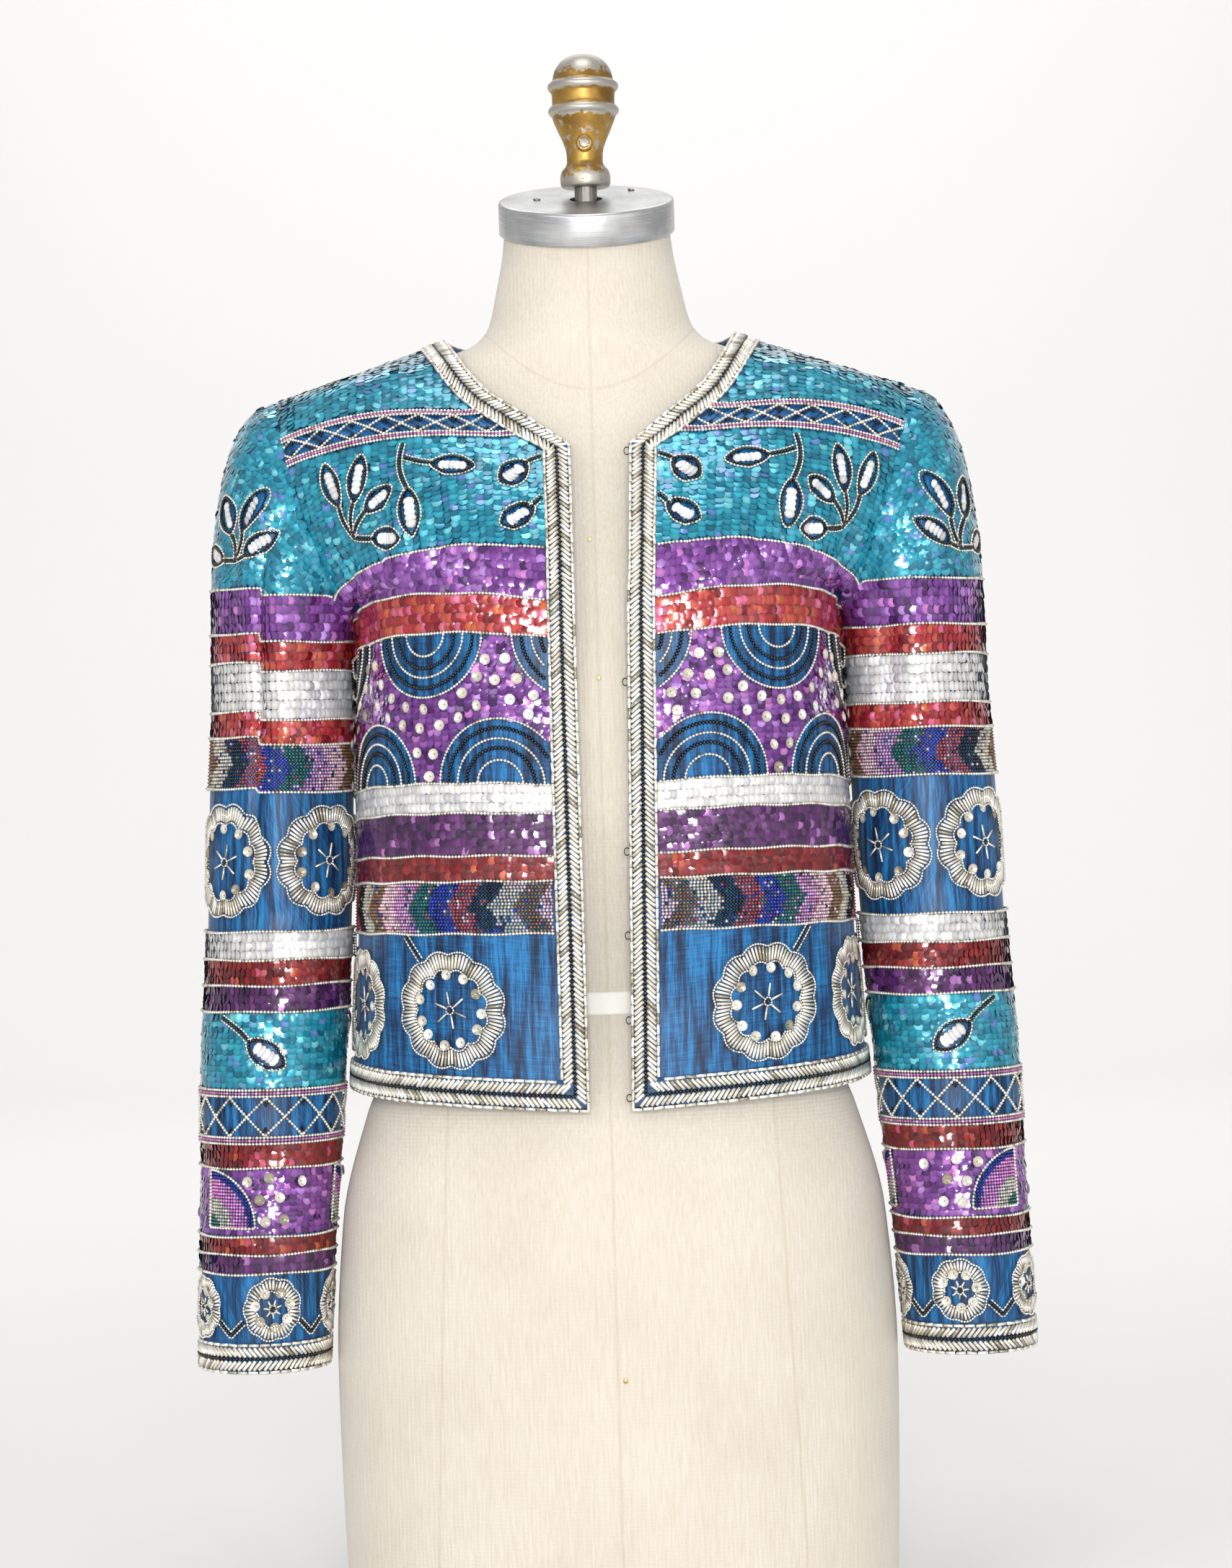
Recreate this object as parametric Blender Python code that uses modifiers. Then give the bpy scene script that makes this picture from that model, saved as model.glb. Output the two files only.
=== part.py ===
# A cropped open-front jacket of silk, worn by a limbless linen dress form with a metal neck cap.
# Metres, +Z up. The front faces -Y and the wearer's left side is at +X.
# Z = 0 is the flat underside of the form, and the form's axis is the Z axis.

import math

import bmesh
import bpy
import numpy as np
from mathutils.bvhtree import BVHTree

# Cloth
WALL = 0.0016
BORDER_LIFT = 0.0003
BORDER_THICK = 0.0016
SEAM_GAP = 0.0004
SEAM_Y = 0.004
SHOULDER_ROW = 2.0
UNDERARM_ROW = 1.0
HEM_BORDER_ROW = 0.066
BORDER_WIDTH = 0.017
SQUARENESS = 0.87

# Neckline
CORNER_ROW = 1.667
SIDE_NECK = (0.0877, 0.0040, 0.7770)
CENTRE_BACK_NECK = (0.0620, 0.7700)
FRONT_OPENING = {"left": (0.0123, 0.0215), "right": (0.0120, 0.0128)}
BACK_NECK_SHARE = 0.51

# Grids
YOKE_STEPS = 12
BODY_ROWS = (0.0, HEM_BORDER_ROW, 0.17, 0.28, 0.40, 0.52, 0.64, 0.76, 0.88)
FRONT_COLUMNS = 10
BACK_NECK_COLUMNS = 4
BACK_SHOULDER_COLUMNS = 6
SLEEVE_CAP_RINGS = 7
SLEEVE_LEVELS = (0.560, 0.520, 0.470, 0.420, 0.370, 0.320, 0.270, 0.225, 0.176, 0.157)
CUFF_BORDER_RINGS = 1
BORDER_STATIONS = 12
BORDER_STRANDS = 3
NECK_BORDER_LIFT = 0.0009

# Form
FORM_POINTS = 32
CAP_TILT = math.radians(18)
NECK_TOP = 0.8570
CAP_TOP = 0.8620
CAP_RADIUS = 0.0538
CAP_HEIGHT = 0.0200
CAP_WALL = 0.0018
CAP_HOLE = 0.0100
POST_RADIUS = 0.0069
FINIAL_FOOT = 0.8690
PIECE_GAP = 0.0003
TAPE_WIDTH = 0.0136
TAPE_HEIGHT = 0.3750
TAPE_LIFT = 0.0004
TAPE_THICK = 0.0008


def table(columns, *rows):
    """One array of numbers for each named column."""
    return dict(zip(columns.split(), np.array(rows, float).T))


# A row runs from the front edge to the side seam or armhole. Row 0 is the hem, row 1 meets the
# underarm and row 2 is the shoulder seam. turn is how far the row bends round the body, in degrees.
FRONT = table(
    "row z_in z_out bow kink y_in x_out y_out turn",
    (0.000, 0.3125, 0.3250, 0.000, 0.0000, -0.1080, 0.1570, 0.0040, 90),
    (0.200, 0.3700, 0.3765, 0.001, 0.0000, -0.1080, 0.1535, 0.0040, 90),
    (0.350, 0.4190, 0.4190, 0.001, 0.0000, -0.1115, 0.1512, 0.0040, 90),
    (0.600, 0.5030, 0.4990, 0.005, 0.0000, -0.1210, 0.1490, 0.0040, 90),
    (0.800, 0.5660, 0.5560, 0.010, 0.0000, -0.1270, 0.1482, 0.0040, 90),
    (1.000, 0.6120, 0.6040, 0.013, 0.0000, -0.1250, 0.1485, 0.0040, 90),
    (1.170, 0.6240, 0.6070, 0.015, 0.0000, -0.1220, 0.1515, -0.0260, 84),
    (1.330, 0.6430, 0.6250, 0.015, 0.0000, -0.1160, 0.1580, -0.0460, 72),
    (1.500, 0.6700, 0.6550, 0.012, 0.0000, -0.1050, 0.1680, -0.0560, 60),
    (1.667, 0.7050, 0.6880, 0.008, 0.0050, -0.0860, 0.1790, -0.0515, 50),
    (1.750, 0.7245, 0.7060, 0.006, 0.0100, -0.0760, 0.1838, -0.0435, 45),
    (1.833, 0.7420, 0.7220, 0.005, 0.0090, -0.0600, 0.1878, -0.0330, 40),
    (1.917, 0.7630, 0.7355, 0.004, 0.0050, -0.0400, 0.1907, -0.0165, 30),
    (2.000, 0.7770, 0.7420, 0.000, 0.0000, 0.0040, 0.1930, 0.0040, 1),
)

# Where each row starts along the front neckline, for a front edge at 0.0215.
NECKLINE = table(
    "row x",
    (1.667, 0.0215),
    (1.750, 0.0450),
    (1.833, 0.0655),
    (1.917, 0.0800),
    (2.000, 0.0877),
)

# The same rows on the back, from the centre line to the seams.
BACK = table(
    "row z_in z_out bow kink y_in x_out y_out turn",
    (0.000, 0.3150, 0.3250, 0.000, 0.0000, 0.1120, 0.1570, 0.0040, 90),
    (0.200, 0.3725, 0.3765, 0.000, 0.0000, 0.1040, 0.1535, 0.0040, 90),
    (0.350, 0.4180, 0.4190, 0.000, 0.0000, 0.1000, 0.1512, 0.0040, 90),
    (0.600, 0.5000, 0.4990, 0.001, 0.0000, 0.1030, 0.1490, 0.0040, 90),
    (0.800, 0.5620, 0.5560, 0.002, 0.0000, 0.1080, 0.1482, 0.0040, 90),
    (1.000, 0.6130, 0.6040, 0.004, 0.0000, 0.1130, 0.1485, 0.0040, 90),
    (1.170, 0.6300, 0.6090, 0.005, 0.0000, 0.1145, 0.1515, 0.0340, 84),
    (1.330, 0.6520, 0.6320, 0.006, 0.0000, 0.1150, 0.1570, 0.0540, 72),
    (1.500, 0.6800, 0.6620, 0.009, 0.0000, 0.1120, 0.1650, 0.0610, 62),
    (1.667, 0.7080, 0.6950, 0.014, 0.0000, 0.1060, 0.1750, 0.0560, 55),
    (1.750, 0.7230, 0.7100, 0.017, 0.0000, 0.1010, 0.1810, 0.0470, 52),
    (1.833, 0.7380, 0.7240, 0.020, 0.0000, 0.0940, 0.1860, 0.0360, 50),
    (1.917, 0.7540, 0.7360, 0.020, 0.0000, 0.0830, 0.1900, 0.0190, 50),
    (2.000, 0.7700, 0.7420, 0.016, 0.0000, 0.0620, 0.1930, 0.0040, 55),
)

# The sleeve from the level of the upper arm to the cuff, in level sections.
SLEEVE = table(
    "z x_in x_out y half_depth",
    (0.157, 0.1768, 0.2532, -0.0100, 0.0415),
    (0.222, 0.1722, 0.2516, -0.0080, 0.0430),
    (0.270, 0.1680, 0.2498, -0.0055, 0.0450),
    (0.340, 0.1622, 0.2482, -0.0020, 0.0465),
    (0.410, 0.1565, 0.2437, 0.0015, 0.0480),
    (0.500, 0.1525, 0.2402, 0.0035, 0.0505),
    (0.560, 0.1512, 0.2358, 0.0045, 0.0520),
)

# How the sleeve head leaves the armhole, from the underarm (0) over front or back to the shoulder (1).
SLEEVE_HEAD = table(
    "place out forward down reach landing",
    (0.00, 0.22, 0.00, 0.97, 0.010, 0.014),
    (0.25, 0.45, 0.25, 0.86, 0.016, 0.024),
    (0.50, 0.78, 0.30, 0.50, 0.032, 0.050),
    (0.75, 0.90, 0.20, 0.32, 0.038, 0.075),
    (1.00, 0.98, 0.00, 0.16, 0.038, 0.095),
)

# Soft folds: how far round (0 to 1 of a panel's row) and at which row, their spreads and their depth.
FRONT_FOLDS = table(
    "across across_spread row row_spread depth",
    (0.84, 0.055, 1.15, 0.34, 0.0055),
    (0.70, 0.050, 0.92, 0.22, 0.0020),
    (0.80, 0.070, 0.20, 0.16, 0.0025),
)
BACK_FOLDS = table(
    "across across_spread row row_spread depth",
    (0.80, 0.060, 1.20, 0.36, 0.0050),
    (0.55, 0.060, 0.55, 0.30, 0.0030),
    (0.30, 0.050, 0.15, 0.20, 0.0025),
)
# Sleeve folds: angle from the outer line towards the front and its spread in degrees, and height.
SLEEVE_FOLDS = {
    "left": table(
        "angle angle_spread height height_spread depth",
        (118, 15, 0.585, 0.055, 0.0050),
        (255, 15, 0.590, 0.060, 0.0050),
        (150, 28, 0.405, 0.012, 0.0025),
        (215, 26, 0.375, 0.012, 0.0022),
    ),
    "right": table(
        "angle angle_spread height height_spread depth",
        (68, 13, 0.585, 0.100, 0.0060),
        (122, 14, 0.600, 0.045, 0.0040),
        (250, 15, 0.590, 0.060, 0.0050),
        (160, 28, 0.395, 0.012, 0.0025),
        (215, 26, 0.365, 0.012, 0.0022),
    ),
}

# The form in level sections, from the underside to the neck.
FORM = table(
    "z half_width front back power",
    (0.000, 0.1670, 0.1120, 0.1180, 2.20),
    (0.080, 0.1700, 0.1140, 0.1240, 2.20),
    (0.155, 0.1712, 0.1130, 0.1270, 2.20),
    (0.243, 0.1655, 0.1090, 0.1170, 2.20),
    (0.308, 0.1485, 0.1000, 0.0980, 2.20),
    (0.375, 0.1220, 0.0880, 0.0820, 2.15),
    (0.440, 0.1270, 0.0980, 0.0860, 2.15),
    (0.500, 0.1360, 0.1110, 0.0920, 2.15),
    (0.560, 0.1395, 0.1160, 0.0970, 2.15),
    (0.610, 0.1380, 0.1100, 0.1000, 2.10),
    (0.650, 0.1410, 0.0960, 0.0980, 2.10),
    (0.685, 0.1540, 0.0800, 0.0910, 2.05),
    (0.708, 0.1600, 0.0700, 0.0830, 2.00),
    (0.726, 0.1560, 0.0620, 0.0750, 2.00),
    (0.740, 0.1480, 0.0560, 0.0680, 2.00),
    (0.750, 0.1340, 0.0535, 0.0640, 2.00),
    (0.758, 0.1160, 0.0525, 0.0620, 2.00),
    (0.766, 0.0930, 0.0520, 0.0606, 2.00),
    (0.774, 0.0710, 0.0515, 0.0582, 2.00),
    (0.785, 0.0620, 0.0475, 0.0562, 2.00),
    (0.805, 0.0570, 0.0435, 0.0562, 2.00),
    (0.830, 0.0520, 0.0410, 0.0535, 2.00),
    (0.857, 0.0492, 0.0455, 0.0465, 2.00),
)
FORM_LEVELS = (
    0.0, 0.080, 0.155, 0.200, 0.243, 0.278, 0.308, 0.340, 0.3682, 0.375, 0.3818, 0.405, 0.440,
    0.500, 0.560, 0.610, 0.650, 0.685, 0.708, 0.726, 0.740, 0.750, 0.758, 0.766, 0.774, 0.785, 0.805, 0.830, 0.857,
)
NECK_TILT_FROM = 0.780

# The turned finial, from its top down.
FINIAL = table(
    "radius z",
    (0.0001, 0.9505),
    (0.0068, 0.9494),
    (0.0128, 0.9462),
    (0.0170, 0.9408),
    (0.0186, 0.9345),
    (0.0207, 0.9328),
    (0.0217, 0.9306),
    (0.0207, 0.9284),
    (0.0194, 0.9262),
    (0.0192, 0.9205),
    (0.0207, 0.9182),
    (0.0217, 0.9158),
    (0.0207, 0.9135),
    (0.0190, 0.9110),
    (0.0163, 0.9040),
    (0.0130, 0.8965),
    (0.0112, 0.8900),
    (0.0110, 0.8845),
    (0.0125, 0.8812),
    (0.0148, 0.8798),
    (0.0153, 0.8770),
    (0.0153, 0.8712),
    (0.0142, 0.8690),
    (0.0001, 0.8690),
)


def value(rows, column, place):
    """A column's value between the rows, on a smooth curve that doesn't overshoot them."""
    keys = rows["row"] if "row" in rows else rows[next(iter(rows))]
    values = rows[column]
    steps = np.diff(keys)
    slopes = np.diff(values) / steps
    bends = np.concatenate([slopes[:1], np.zeros(len(keys) - 2), slopes[-1:]])
    for i in range(1, len(keys) - 1):
        if slopes[i - 1] * slopes[i] > 0:
            bends[i] = 2 * slopes[i - 1] * slopes[i] / (slopes[i - 1] + slopes[i])
    place = np.clip(place, keys[0], keys[-1])
    i = np.clip(np.searchsorted(keys, place, side="right") - 1, 0, len(keys) - 2)
    t = (place - keys[i]) / steps[i]
    start = (2 * t**3 - 3 * t**2 + 1) * values[i] + (t**3 - 2 * t**2 + t) * steps[i] * bends[i]
    end = (3 * t**2 - 2 * t**3) * values[i + 1] + (t**3 - t**2) * steps[i] * bends[i + 1]
    return start + end


def unit(vectors):
    """The same directions, each one metre long."""
    return vectors / np.maximum(np.linalg.norm(vectors, axis=-1, keepdims=True), 1e-9)


def outward(points, around=False):
    """The directions square to a grid of points, from the lines that cross at each one."""
    if around:
        across = np.roll(points, -1, axis=1) - np.roll(points, 1, axis=1)
    else:
        across = np.gradient(points, axis=1)
    return unit(np.cross(across, np.gradient(points, axis=0)))


def panel_row(rows, row, start_x, shares):
    """Points along one row of a panel, at shares of the length between its two ends."""
    s = np.linspace(0, 1, 161)
    turn = math.radians(max(float(value(rows, "turn", row)), 1.0))
    progress = (np.sin(s * turn) / math.sin(turn)) ** SQUARENESS
    rounding = 1 - ((np.cos(s * turn) - math.cos(turn)) / (1 - math.cos(turn))) ** SQUARENESS
    start_y, end_y = float(value(rows, "y_in", row)), float(value(rows, "y_out", row))
    x = start_x + (float(value(rows, "x_out", row)) - start_x) * progress
    y = start_y + (end_y - start_y) * rounding
    run = np.concatenate([[0], np.cumsum(np.hypot(np.diff(x), np.diff(y)))])
    run /= run[-1]
    start_z, end_z = float(value(rows, "z_in", row)), float(value(rows, "z_out", row))
    dip = float(value(rows, "kink", row)) * (run / 0.2) * np.exp(1 - run / 0.2) * (1 - run)
    z = start_z + (end_z - start_z) * run + float(value(rows, "bow", row)) * 4 * run * (1 - run) - dip
    line = np.stack([x, y, z], axis=1)
    length = np.concatenate([[0], np.cumsum(np.linalg.norm(np.diff(line, axis=0), axis=1))])
    if callable(shares):
        shares = shares(length[-1])
    return np.stack([np.interp(np.array(shares) * length[-1], length, line[:, k]) for k in range(3)], 1)


def front_start(side, row):
    """Where a front's row starts: on the front edge, then along the neckline."""
    hem_x, corner_x = FRONT_OPENING[side]
    if row <= CORNER_ROW:
        return hem_x + (corner_x - hem_x) * row / CORNER_ROW
    share = (float(value(NECKLINE, "x", row)) - NECKLINE["x"][0]) / (SIDE_NECK[0] - NECKLINE["x"][0])
    return corner_x + (SIDE_NECK[0] - corner_x) * share


def back_top_line(shares):
    """The back's top edge: half the neckline, then the shoulder seam."""
    points = []
    for share in shares:
        if share <= BACK_NECK_SHARE:
            angle = share / BACK_NECK_SHARE * math.pi / 2
            depth, height = CENTRE_BACK_NECK
            points.append((
                SIDE_NECK[0] * math.sin(angle),
                SIDE_NECK[1] + (depth - SIDE_NECK[1]) * math.cos(angle),
                height + (SIDE_NECK[2] - height) * (1 - math.cos(angle)),
            ))
        else:
            along = (share - BACK_NECK_SHARE) / (1 - BACK_NECK_SHARE)
            tip = np.array([BACK[c][-1] for c in ("x_out", "y_out", "z_out")])
            points.append(np.array(SIDE_NECK) + (tip - np.array(SIDE_NECK)) * along)
    return np.array([tuple(p) for p in points])


def folded(points, normals, shares, rows, folds):
    """Points pressed in along soft folds."""
    depth = np.zeros((len(rows), len(shares)))
    across, up = np.meshgrid(np.abs(shares), rows)
    for i in range(len(folds["depth"])):
        spot = ((across - folds["across"][i]) / folds["across_spread"][i]) ** 2
        spot += ((up - folds["row"][i]) / folds["row_spread"][i]) ** 2
        depth += folds["depth"][i] * np.exp(-spot)
    edge = np.clip((1 - across) / 0.08, 0, 1)
    return points - normals * (depth * edge)[..., None]


def square_to_seams(normals, rows, shoulder, both_ends):
    """Seams where two panels butt: the walls' rims there are square to the joint."""
    normals[-1, shoulder, 1] = 0
    side = normals[np.array(rows) <= UNDERARM_ROW, -1]
    side[:, 1] = 0
    normals[np.array(rows) <= UNDERARM_ROW, -1] = side
    if both_ends:
        side = normals[np.array(rows) <= UNDERARM_ROW, 0]
        side[:, 1] = 0
        normals[np.array(rows) <= UNDERARM_ROW, 0] = side
    return unit(normals)


def yoke_rows():
    """The rows above the underarm, one for each point of the sleeve's half armhole."""
    return [UNDERARM_ROW + k / YOKE_STEPS for k in range(YOKE_STEPS + 1)]


def front_panel(side):
    """A front's outer points and outward directions, made at +X and mirrored for the right side."""
    rows = list(BODY_ROWS) + yoke_rows()
    count = FRONT_COLUMNS

    def shares(length):
        border = BORDER_WIDTH / length
        return [0] + [border + (1 - border) * c / (count - 1) for c in range(count)]

    grid = np.array([panel_row(FRONT, row, front_start(side, row), shares) for row in rows])
    normals = outward(grid)
    grid = folded(grid, normals, np.linspace(0, 1, count + 1), rows, FRONT_FOLDS)
    normals = square_to_seams(outward(grid), rows, np.arange(count + 1), False)
    grid[np.array(rows) <= UNDERARM_ROW, -1, 1] -= SEAM_GAP / 2
    grid[-1, :, 1] -= SEAM_GAP / 2
    if side == "right":
        grid, normals = grid * (-1, 1, 1), normals * (-1, 1, 1)
    return grid, normals


def back_rows(rows, shares):
    """The back from the centre line to one side, with the neckline curved into its top edge."""
    formula_top = panel_row(BACK, SHOULDER_ROW, 0, shares)
    change = back_top_line(shares) - formula_top
    grid = []
    for row in rows:
        blend = max(0.0, (row - CORNER_ROW) / (SHOULDER_ROW - CORNER_ROW)) ** 2
        grid.append(panel_row(BACK, row, 0, shares) + change * blend)
    return np.array(grid)


def back_panel():
    """The back's outer points and outward directions, from the right side seam to the left."""
    rows = list(BODY_ROWS) + yoke_rows()
    half = [BACK_NECK_SHARE * c / BACK_NECK_COLUMNS for c in range(BACK_NECK_COLUMNS)]
    half += [
        BACK_NECK_SHARE + (1 - BACK_NECK_SHARE) * c / BACK_SHOULDER_COLUMNS
        for c in range(BACK_SHOULDER_COLUMNS + 1)
    ]
    left = back_rows(rows, half)
    grid = np.concatenate([left[:, :0:-1] * (-1, 1, 1), left], axis=1)
    shares = np.array([-s for s in half[:0:-1]] + half)
    normals = -outward(grid)
    grid = folded(grid, normals, shares, rows, BACK_FOLDS)
    shoulder = np.abs(shares) >= BACK_NECK_SHARE
    normals = square_to_seams(-outward(grid), rows, shoulder, True)
    low = np.array(rows) <= UNDERARM_ROW
    grid[low, -1, 1] += SEAM_GAP / 2
    grid[low, 0, 1] += SEAM_GAP / 2
    grid[-1, shoulder, 1] += SEAM_GAP / 2
    return grid, normals


def armhole(grid_front, normals_front, grid_back, normals_back):
    """The loop where a sleeve meets the body: over the front to the underarm, and up the back."""
    first = len(BODY_ROWS)
    front = grid_front[first:, -1][::-1], normals_front[first:, -1][::-1]
    back = grid_back[first:, -1], normals_back[first:, -1]
    loop = np.concatenate([front[0], back[0][1:-1]])
    normals = np.concatenate([front[1], back[1][1:-1]])
    loop[0, 1] = SEAM_Y
    loop[YOKE_STEPS, 1] = SEAM_Y
    return loop, normals


def sleeve_section(z, angles):
    """One level section of the sleeve, with angles from its outer line towards the front."""
    near, far = value(SLEEVE, "x_in", z), value(SLEEVE, "x_out", z)
    x = (near + far) / 2 + (far - near) / 2 * np.cos(angles)
    y = value(SLEEVE, "y", z) - value(SLEEVE, "half_depth", z) * np.sin(angles)
    return np.stack([x, y, np.full(len(angles), z)], axis=1)


def sleeve(side, loop, loop_normals):
    """A sleeve's outer points and directions, ring by ring from the armhole to the cuff."""
    count = 2 * YOKE_STEPS
    turns = np.arange(count) * math.pi / YOKE_STEPS
    place = np.abs(1 - np.arange(count) / YOKE_STEPS)
    towards_front = np.where(np.arange(count) < YOKE_STEPS, -1, 1)
    leave = np.stack([
        value(SLEEVE_HEAD, "out", place),
        value(SLEEVE_HEAD, "forward", place) * towards_front,
        -value(SLEEVE_HEAD, "down", place),
    ], axis=1)
    leave = unit(leave)
    start = loop + leave * SEAM_GAP
    reach = value(SLEEVE_HEAD, "reach", place)[:, None]
    landing = value(SLEEVE_HEAD, "landing", place)[:, None]
    arm = sleeve_section(SLEEVE_LEVELS[0], turns)
    rings = []
    for k in range(SLEEVE_CAP_RINGS):
        t = k / SLEEVE_CAP_RINGS
        rings.append(
            start * (1 - t) ** 3
            + (start + leave * reach) * 3 * t * (1 - t) ** 2
            + (arm + np.array([0, 0, 1]) * landing) * 3 * t**2 * (1 - t)
            + arm * t**3
        )
    rings += [sleeve_section(z, turns) for z in SLEEVE_LEVELS]
    grid = np.array(rings)
    normals = outward(grid, around=True)
    folds = SLEEVE_FOLDS[side]
    angle = np.degrees(turns)[None, :]
    for i in range(len(folds["depth"])):
        away = (angle - folds["angle"][i] + 180) % 360 - 180
        spot = (away / folds["angle_spread"][i]) ** 2
        spot = spot + ((grid[..., 2] - folds["height"][i]) / folds["height_spread"][i]) ** 2
        depth = folds["depth"][i] * np.exp(-spot)
        depth[0] = 0
        grid = grid - normals * depth[..., None]
    normals = outward(grid, around=True)
    shared = np.clip((place - 0.2) / 0.3, 0, 1)[:, None]
    normals[0] = unit(loop_normals * shared + normals[0] * (1 - shared))
    if side == "right":
        grid, normals = grid * (-1, 1, 1), normals * (-1, 1, 1)
    return grid, normals


def border_back_neck(panel, directions):
    """The back neckline's border, laid on the back: points by station and across its width."""
    count = panel.shape[1]
    triangles = []
    for r in range(panel.shape[0] - 1):
        for c in range(count - 1):
            low, high = r * count + c, (r + 1) * count + c
            triangles += [(low, low + 1, high + 1), (low, high + 1, high)]
    surface = panel.reshape(-1, 3)
    facings = directions.reshape(-1, 3)
    tree = BVHTree.FromPolygons([tuple(p) for p in surface], triangles)

    def facing_at(point):
        away = np.linalg.norm(surface - point, axis=1)
        near = np.argsort(away)[:4]
        return unit((facings[near] / (away[near] + 0.002)[:, None]).sum(axis=0))

    depth = CENTRE_BACK_NECK[0] - SIDE_NECK[1]
    seam = np.array(SIDE_NECK)
    tip = np.array([BACK[c][-1] for c in ("x_out", "y_out", "z_out")])
    widths = np.linspace(0, BORDER_WIDTH, BORDER_STRANDS + 1)
    grid, normals = [], []
    for station in range(-BORDER_STATIONS, BORDER_STATIONS + 1):
        share = abs(station) / BORDER_STATIONS
        half = np.array([math.copysign(1, station), 1, 1])
        angle = share * math.pi / 2
        start = back_top_line([BACK_NECK_SHARE * share])[0] * half
        out = np.array([math.sin(angle) / SIDE_NECK[0], math.cos(angle) / depth, 0]) * half
        if share == 1:
            line = (seam + unit(tip - seam) * widths[:, None] + (0, SEAM_GAP / 2, 0)) * half
            facing = np.array([facing_at(point) for point in line])
            facing[:, 1] = 0
        else:
            n = facing_at(start)
            along = unit(out - n * (out @ n))
            line = [tree.find_nearest(tuple(start + along * width))[0] for width in widths]
            line = np.array([tuple(point) for point in line])
            facing = np.array([facing_at(point) for point in line])
        grid.append(line)
        normals.append(unit(facing))
    return np.array(grid), np.array(normals)


def material(name, colour, roughness, metallic=0.0):
    """A material with one colour, given as sRGB hex."""
    made = bpy.data.materials.new(name)
    made.use_nodes = True
    channels = [int(colour[i : i + 2], 16) / 255 for i in (0, 2, 4)]
    linear = [c / 12.92 if c <= 0.04045 else ((c + 0.055) / 1.055) ** 2.4 for c in channels]
    surface = made.node_tree.nodes["Principled BSDF"]
    surface.inputs["Base Color"].default_value = (*linear, 1)
    surface.inputs["Roughness"].default_value = roughness
    surface.inputs["Metallic"].default_value = metallic
    made.diffuse_color = (*linear, 1)
    return made


def add(name, mesh, holder, finish, sharp=40):
    """A named object of a mesh, shaded smooth but for its sharp edges."""
    mesh.shade_smooth()
    mesh.set_sharp_from_angle(angle=math.radians(sharp))
    mesh.materials.append(finish)
    made = bpy.data.objects.new(name, mesh)
    made.parent = holder
    jacket_and_form.objects.link(made)
    return made


def closed_mesh(name, points, faces):
    """A closed mesh with its faces turned out."""
    mesh = bpy.data.meshes.new(name)
    mesh.from_pydata([tuple(p) for p in points], [], faces)
    shape = bmesh.new()
    shape.from_mesh(mesh)
    bmesh.ops.delete(shape, geom=[v for v in shape.verts if not v.link_faces], context="VERTS")
    bmesh.ops.recalc_face_normals(shape, faces=shape.faces)
    shape.to_mesh(mesh)
    shape.free()
    return mesh


def wall(name, outer, inner, holder, finish, around=False, kept=None):
    """A wall between two grids of points, closed by a rim along each free edge."""
    down, across = outer.shape[:2]
    cells = across if around else across - 1
    if kept is None:
        kept = np.ones((down - 1, cells), bool)
    half = down * across
    faces = []
    edges = {}
    for r in range(down - 1):
        for c in range(cells):
            if not kept[r, c]:
                continue
            d = (c + 1) % across
            corners = [r * across + c, r * across + d, (r + 1) * across + d, (r + 1) * across + c]
            for triangle in ((0, 1, 2), (0, 2, 3)):
                faces.append(tuple(corners[k] for k in triangle))
                faces.append(tuple(half + corners[k] for k in reversed(triangle)))
            for a, b in zip(corners, corners[1:] + corners[:1]):
                edges[(a, b)] = True
    for a, b in edges:
        if (b, a) not in edges:
            faces.append((b, a, half + a, half + b))
    points = np.concatenate([outer.reshape(-1, 3), inner.reshape(-1, 3)])
    return add(name, closed_mesh(name, points, faces), holder, finish)


def border(name, grid, normals, holder, kept=None, around=False, lift=BORDER_LIFT):
    """Beadwork along an edge: a strip of a panel's cells, moved out."""
    low = grid + normals * lift
    high = grid + normals * (lift + BORDER_THICK)
    return wall(name, high, low, holder, bugle_border, around, kept)


def form_ring(z, lift=0.0):
    """One section of the form. Above the neck's base it leans forward with the cap."""
    angles = 2 * math.pi * np.arange(FORM_POINTS) / FORM_POINTS
    c, s = np.cos(angles), np.sin(angles)
    power = 2 / float(value(FORM, "power", z))
    x = (float(value(FORM, "half_width", z)) + lift) * np.sign(c) * np.abs(c) ** power
    front, back = float(value(FORM, "front", z)) + lift, float(value(FORM, "back", z)) + lift
    y = (back - front) / 2 + (back + front) / 2 * np.sign(s) * np.abs(s) ** power
    lean = np.clip((z - NECK_TILT_FROM) / (NECK_TOP - NECK_TILT_FROM), 0, 1) ** 1.5
    return np.stack([x, y, z + y * math.tan(CAP_TILT) * lean], axis=1)


def form_torso():
    """The padded body of the form: one smooth closed shape with a flat underside."""
    rings = np.array([form_ring(z) for z in FORM_LEVELS])
    count = FORM_POINTS
    faces = []
    for r in range(len(rings) - 1):
        for c in range(count):
            d = (c + 1) % count
            faces.append((r * count + c, r * count + d, (r + 1) * count + d, (r + 1) * count + c))
    faces.append(tuple(range(count - 1, -1, -1)))
    faces.append(tuple((len(rings) - 1) * count + c for c in range(count)))
    return add("form_torso", closed_mesh("form_torso", rings.reshape(-1, 3), faces), form_frame, linen)


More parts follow.
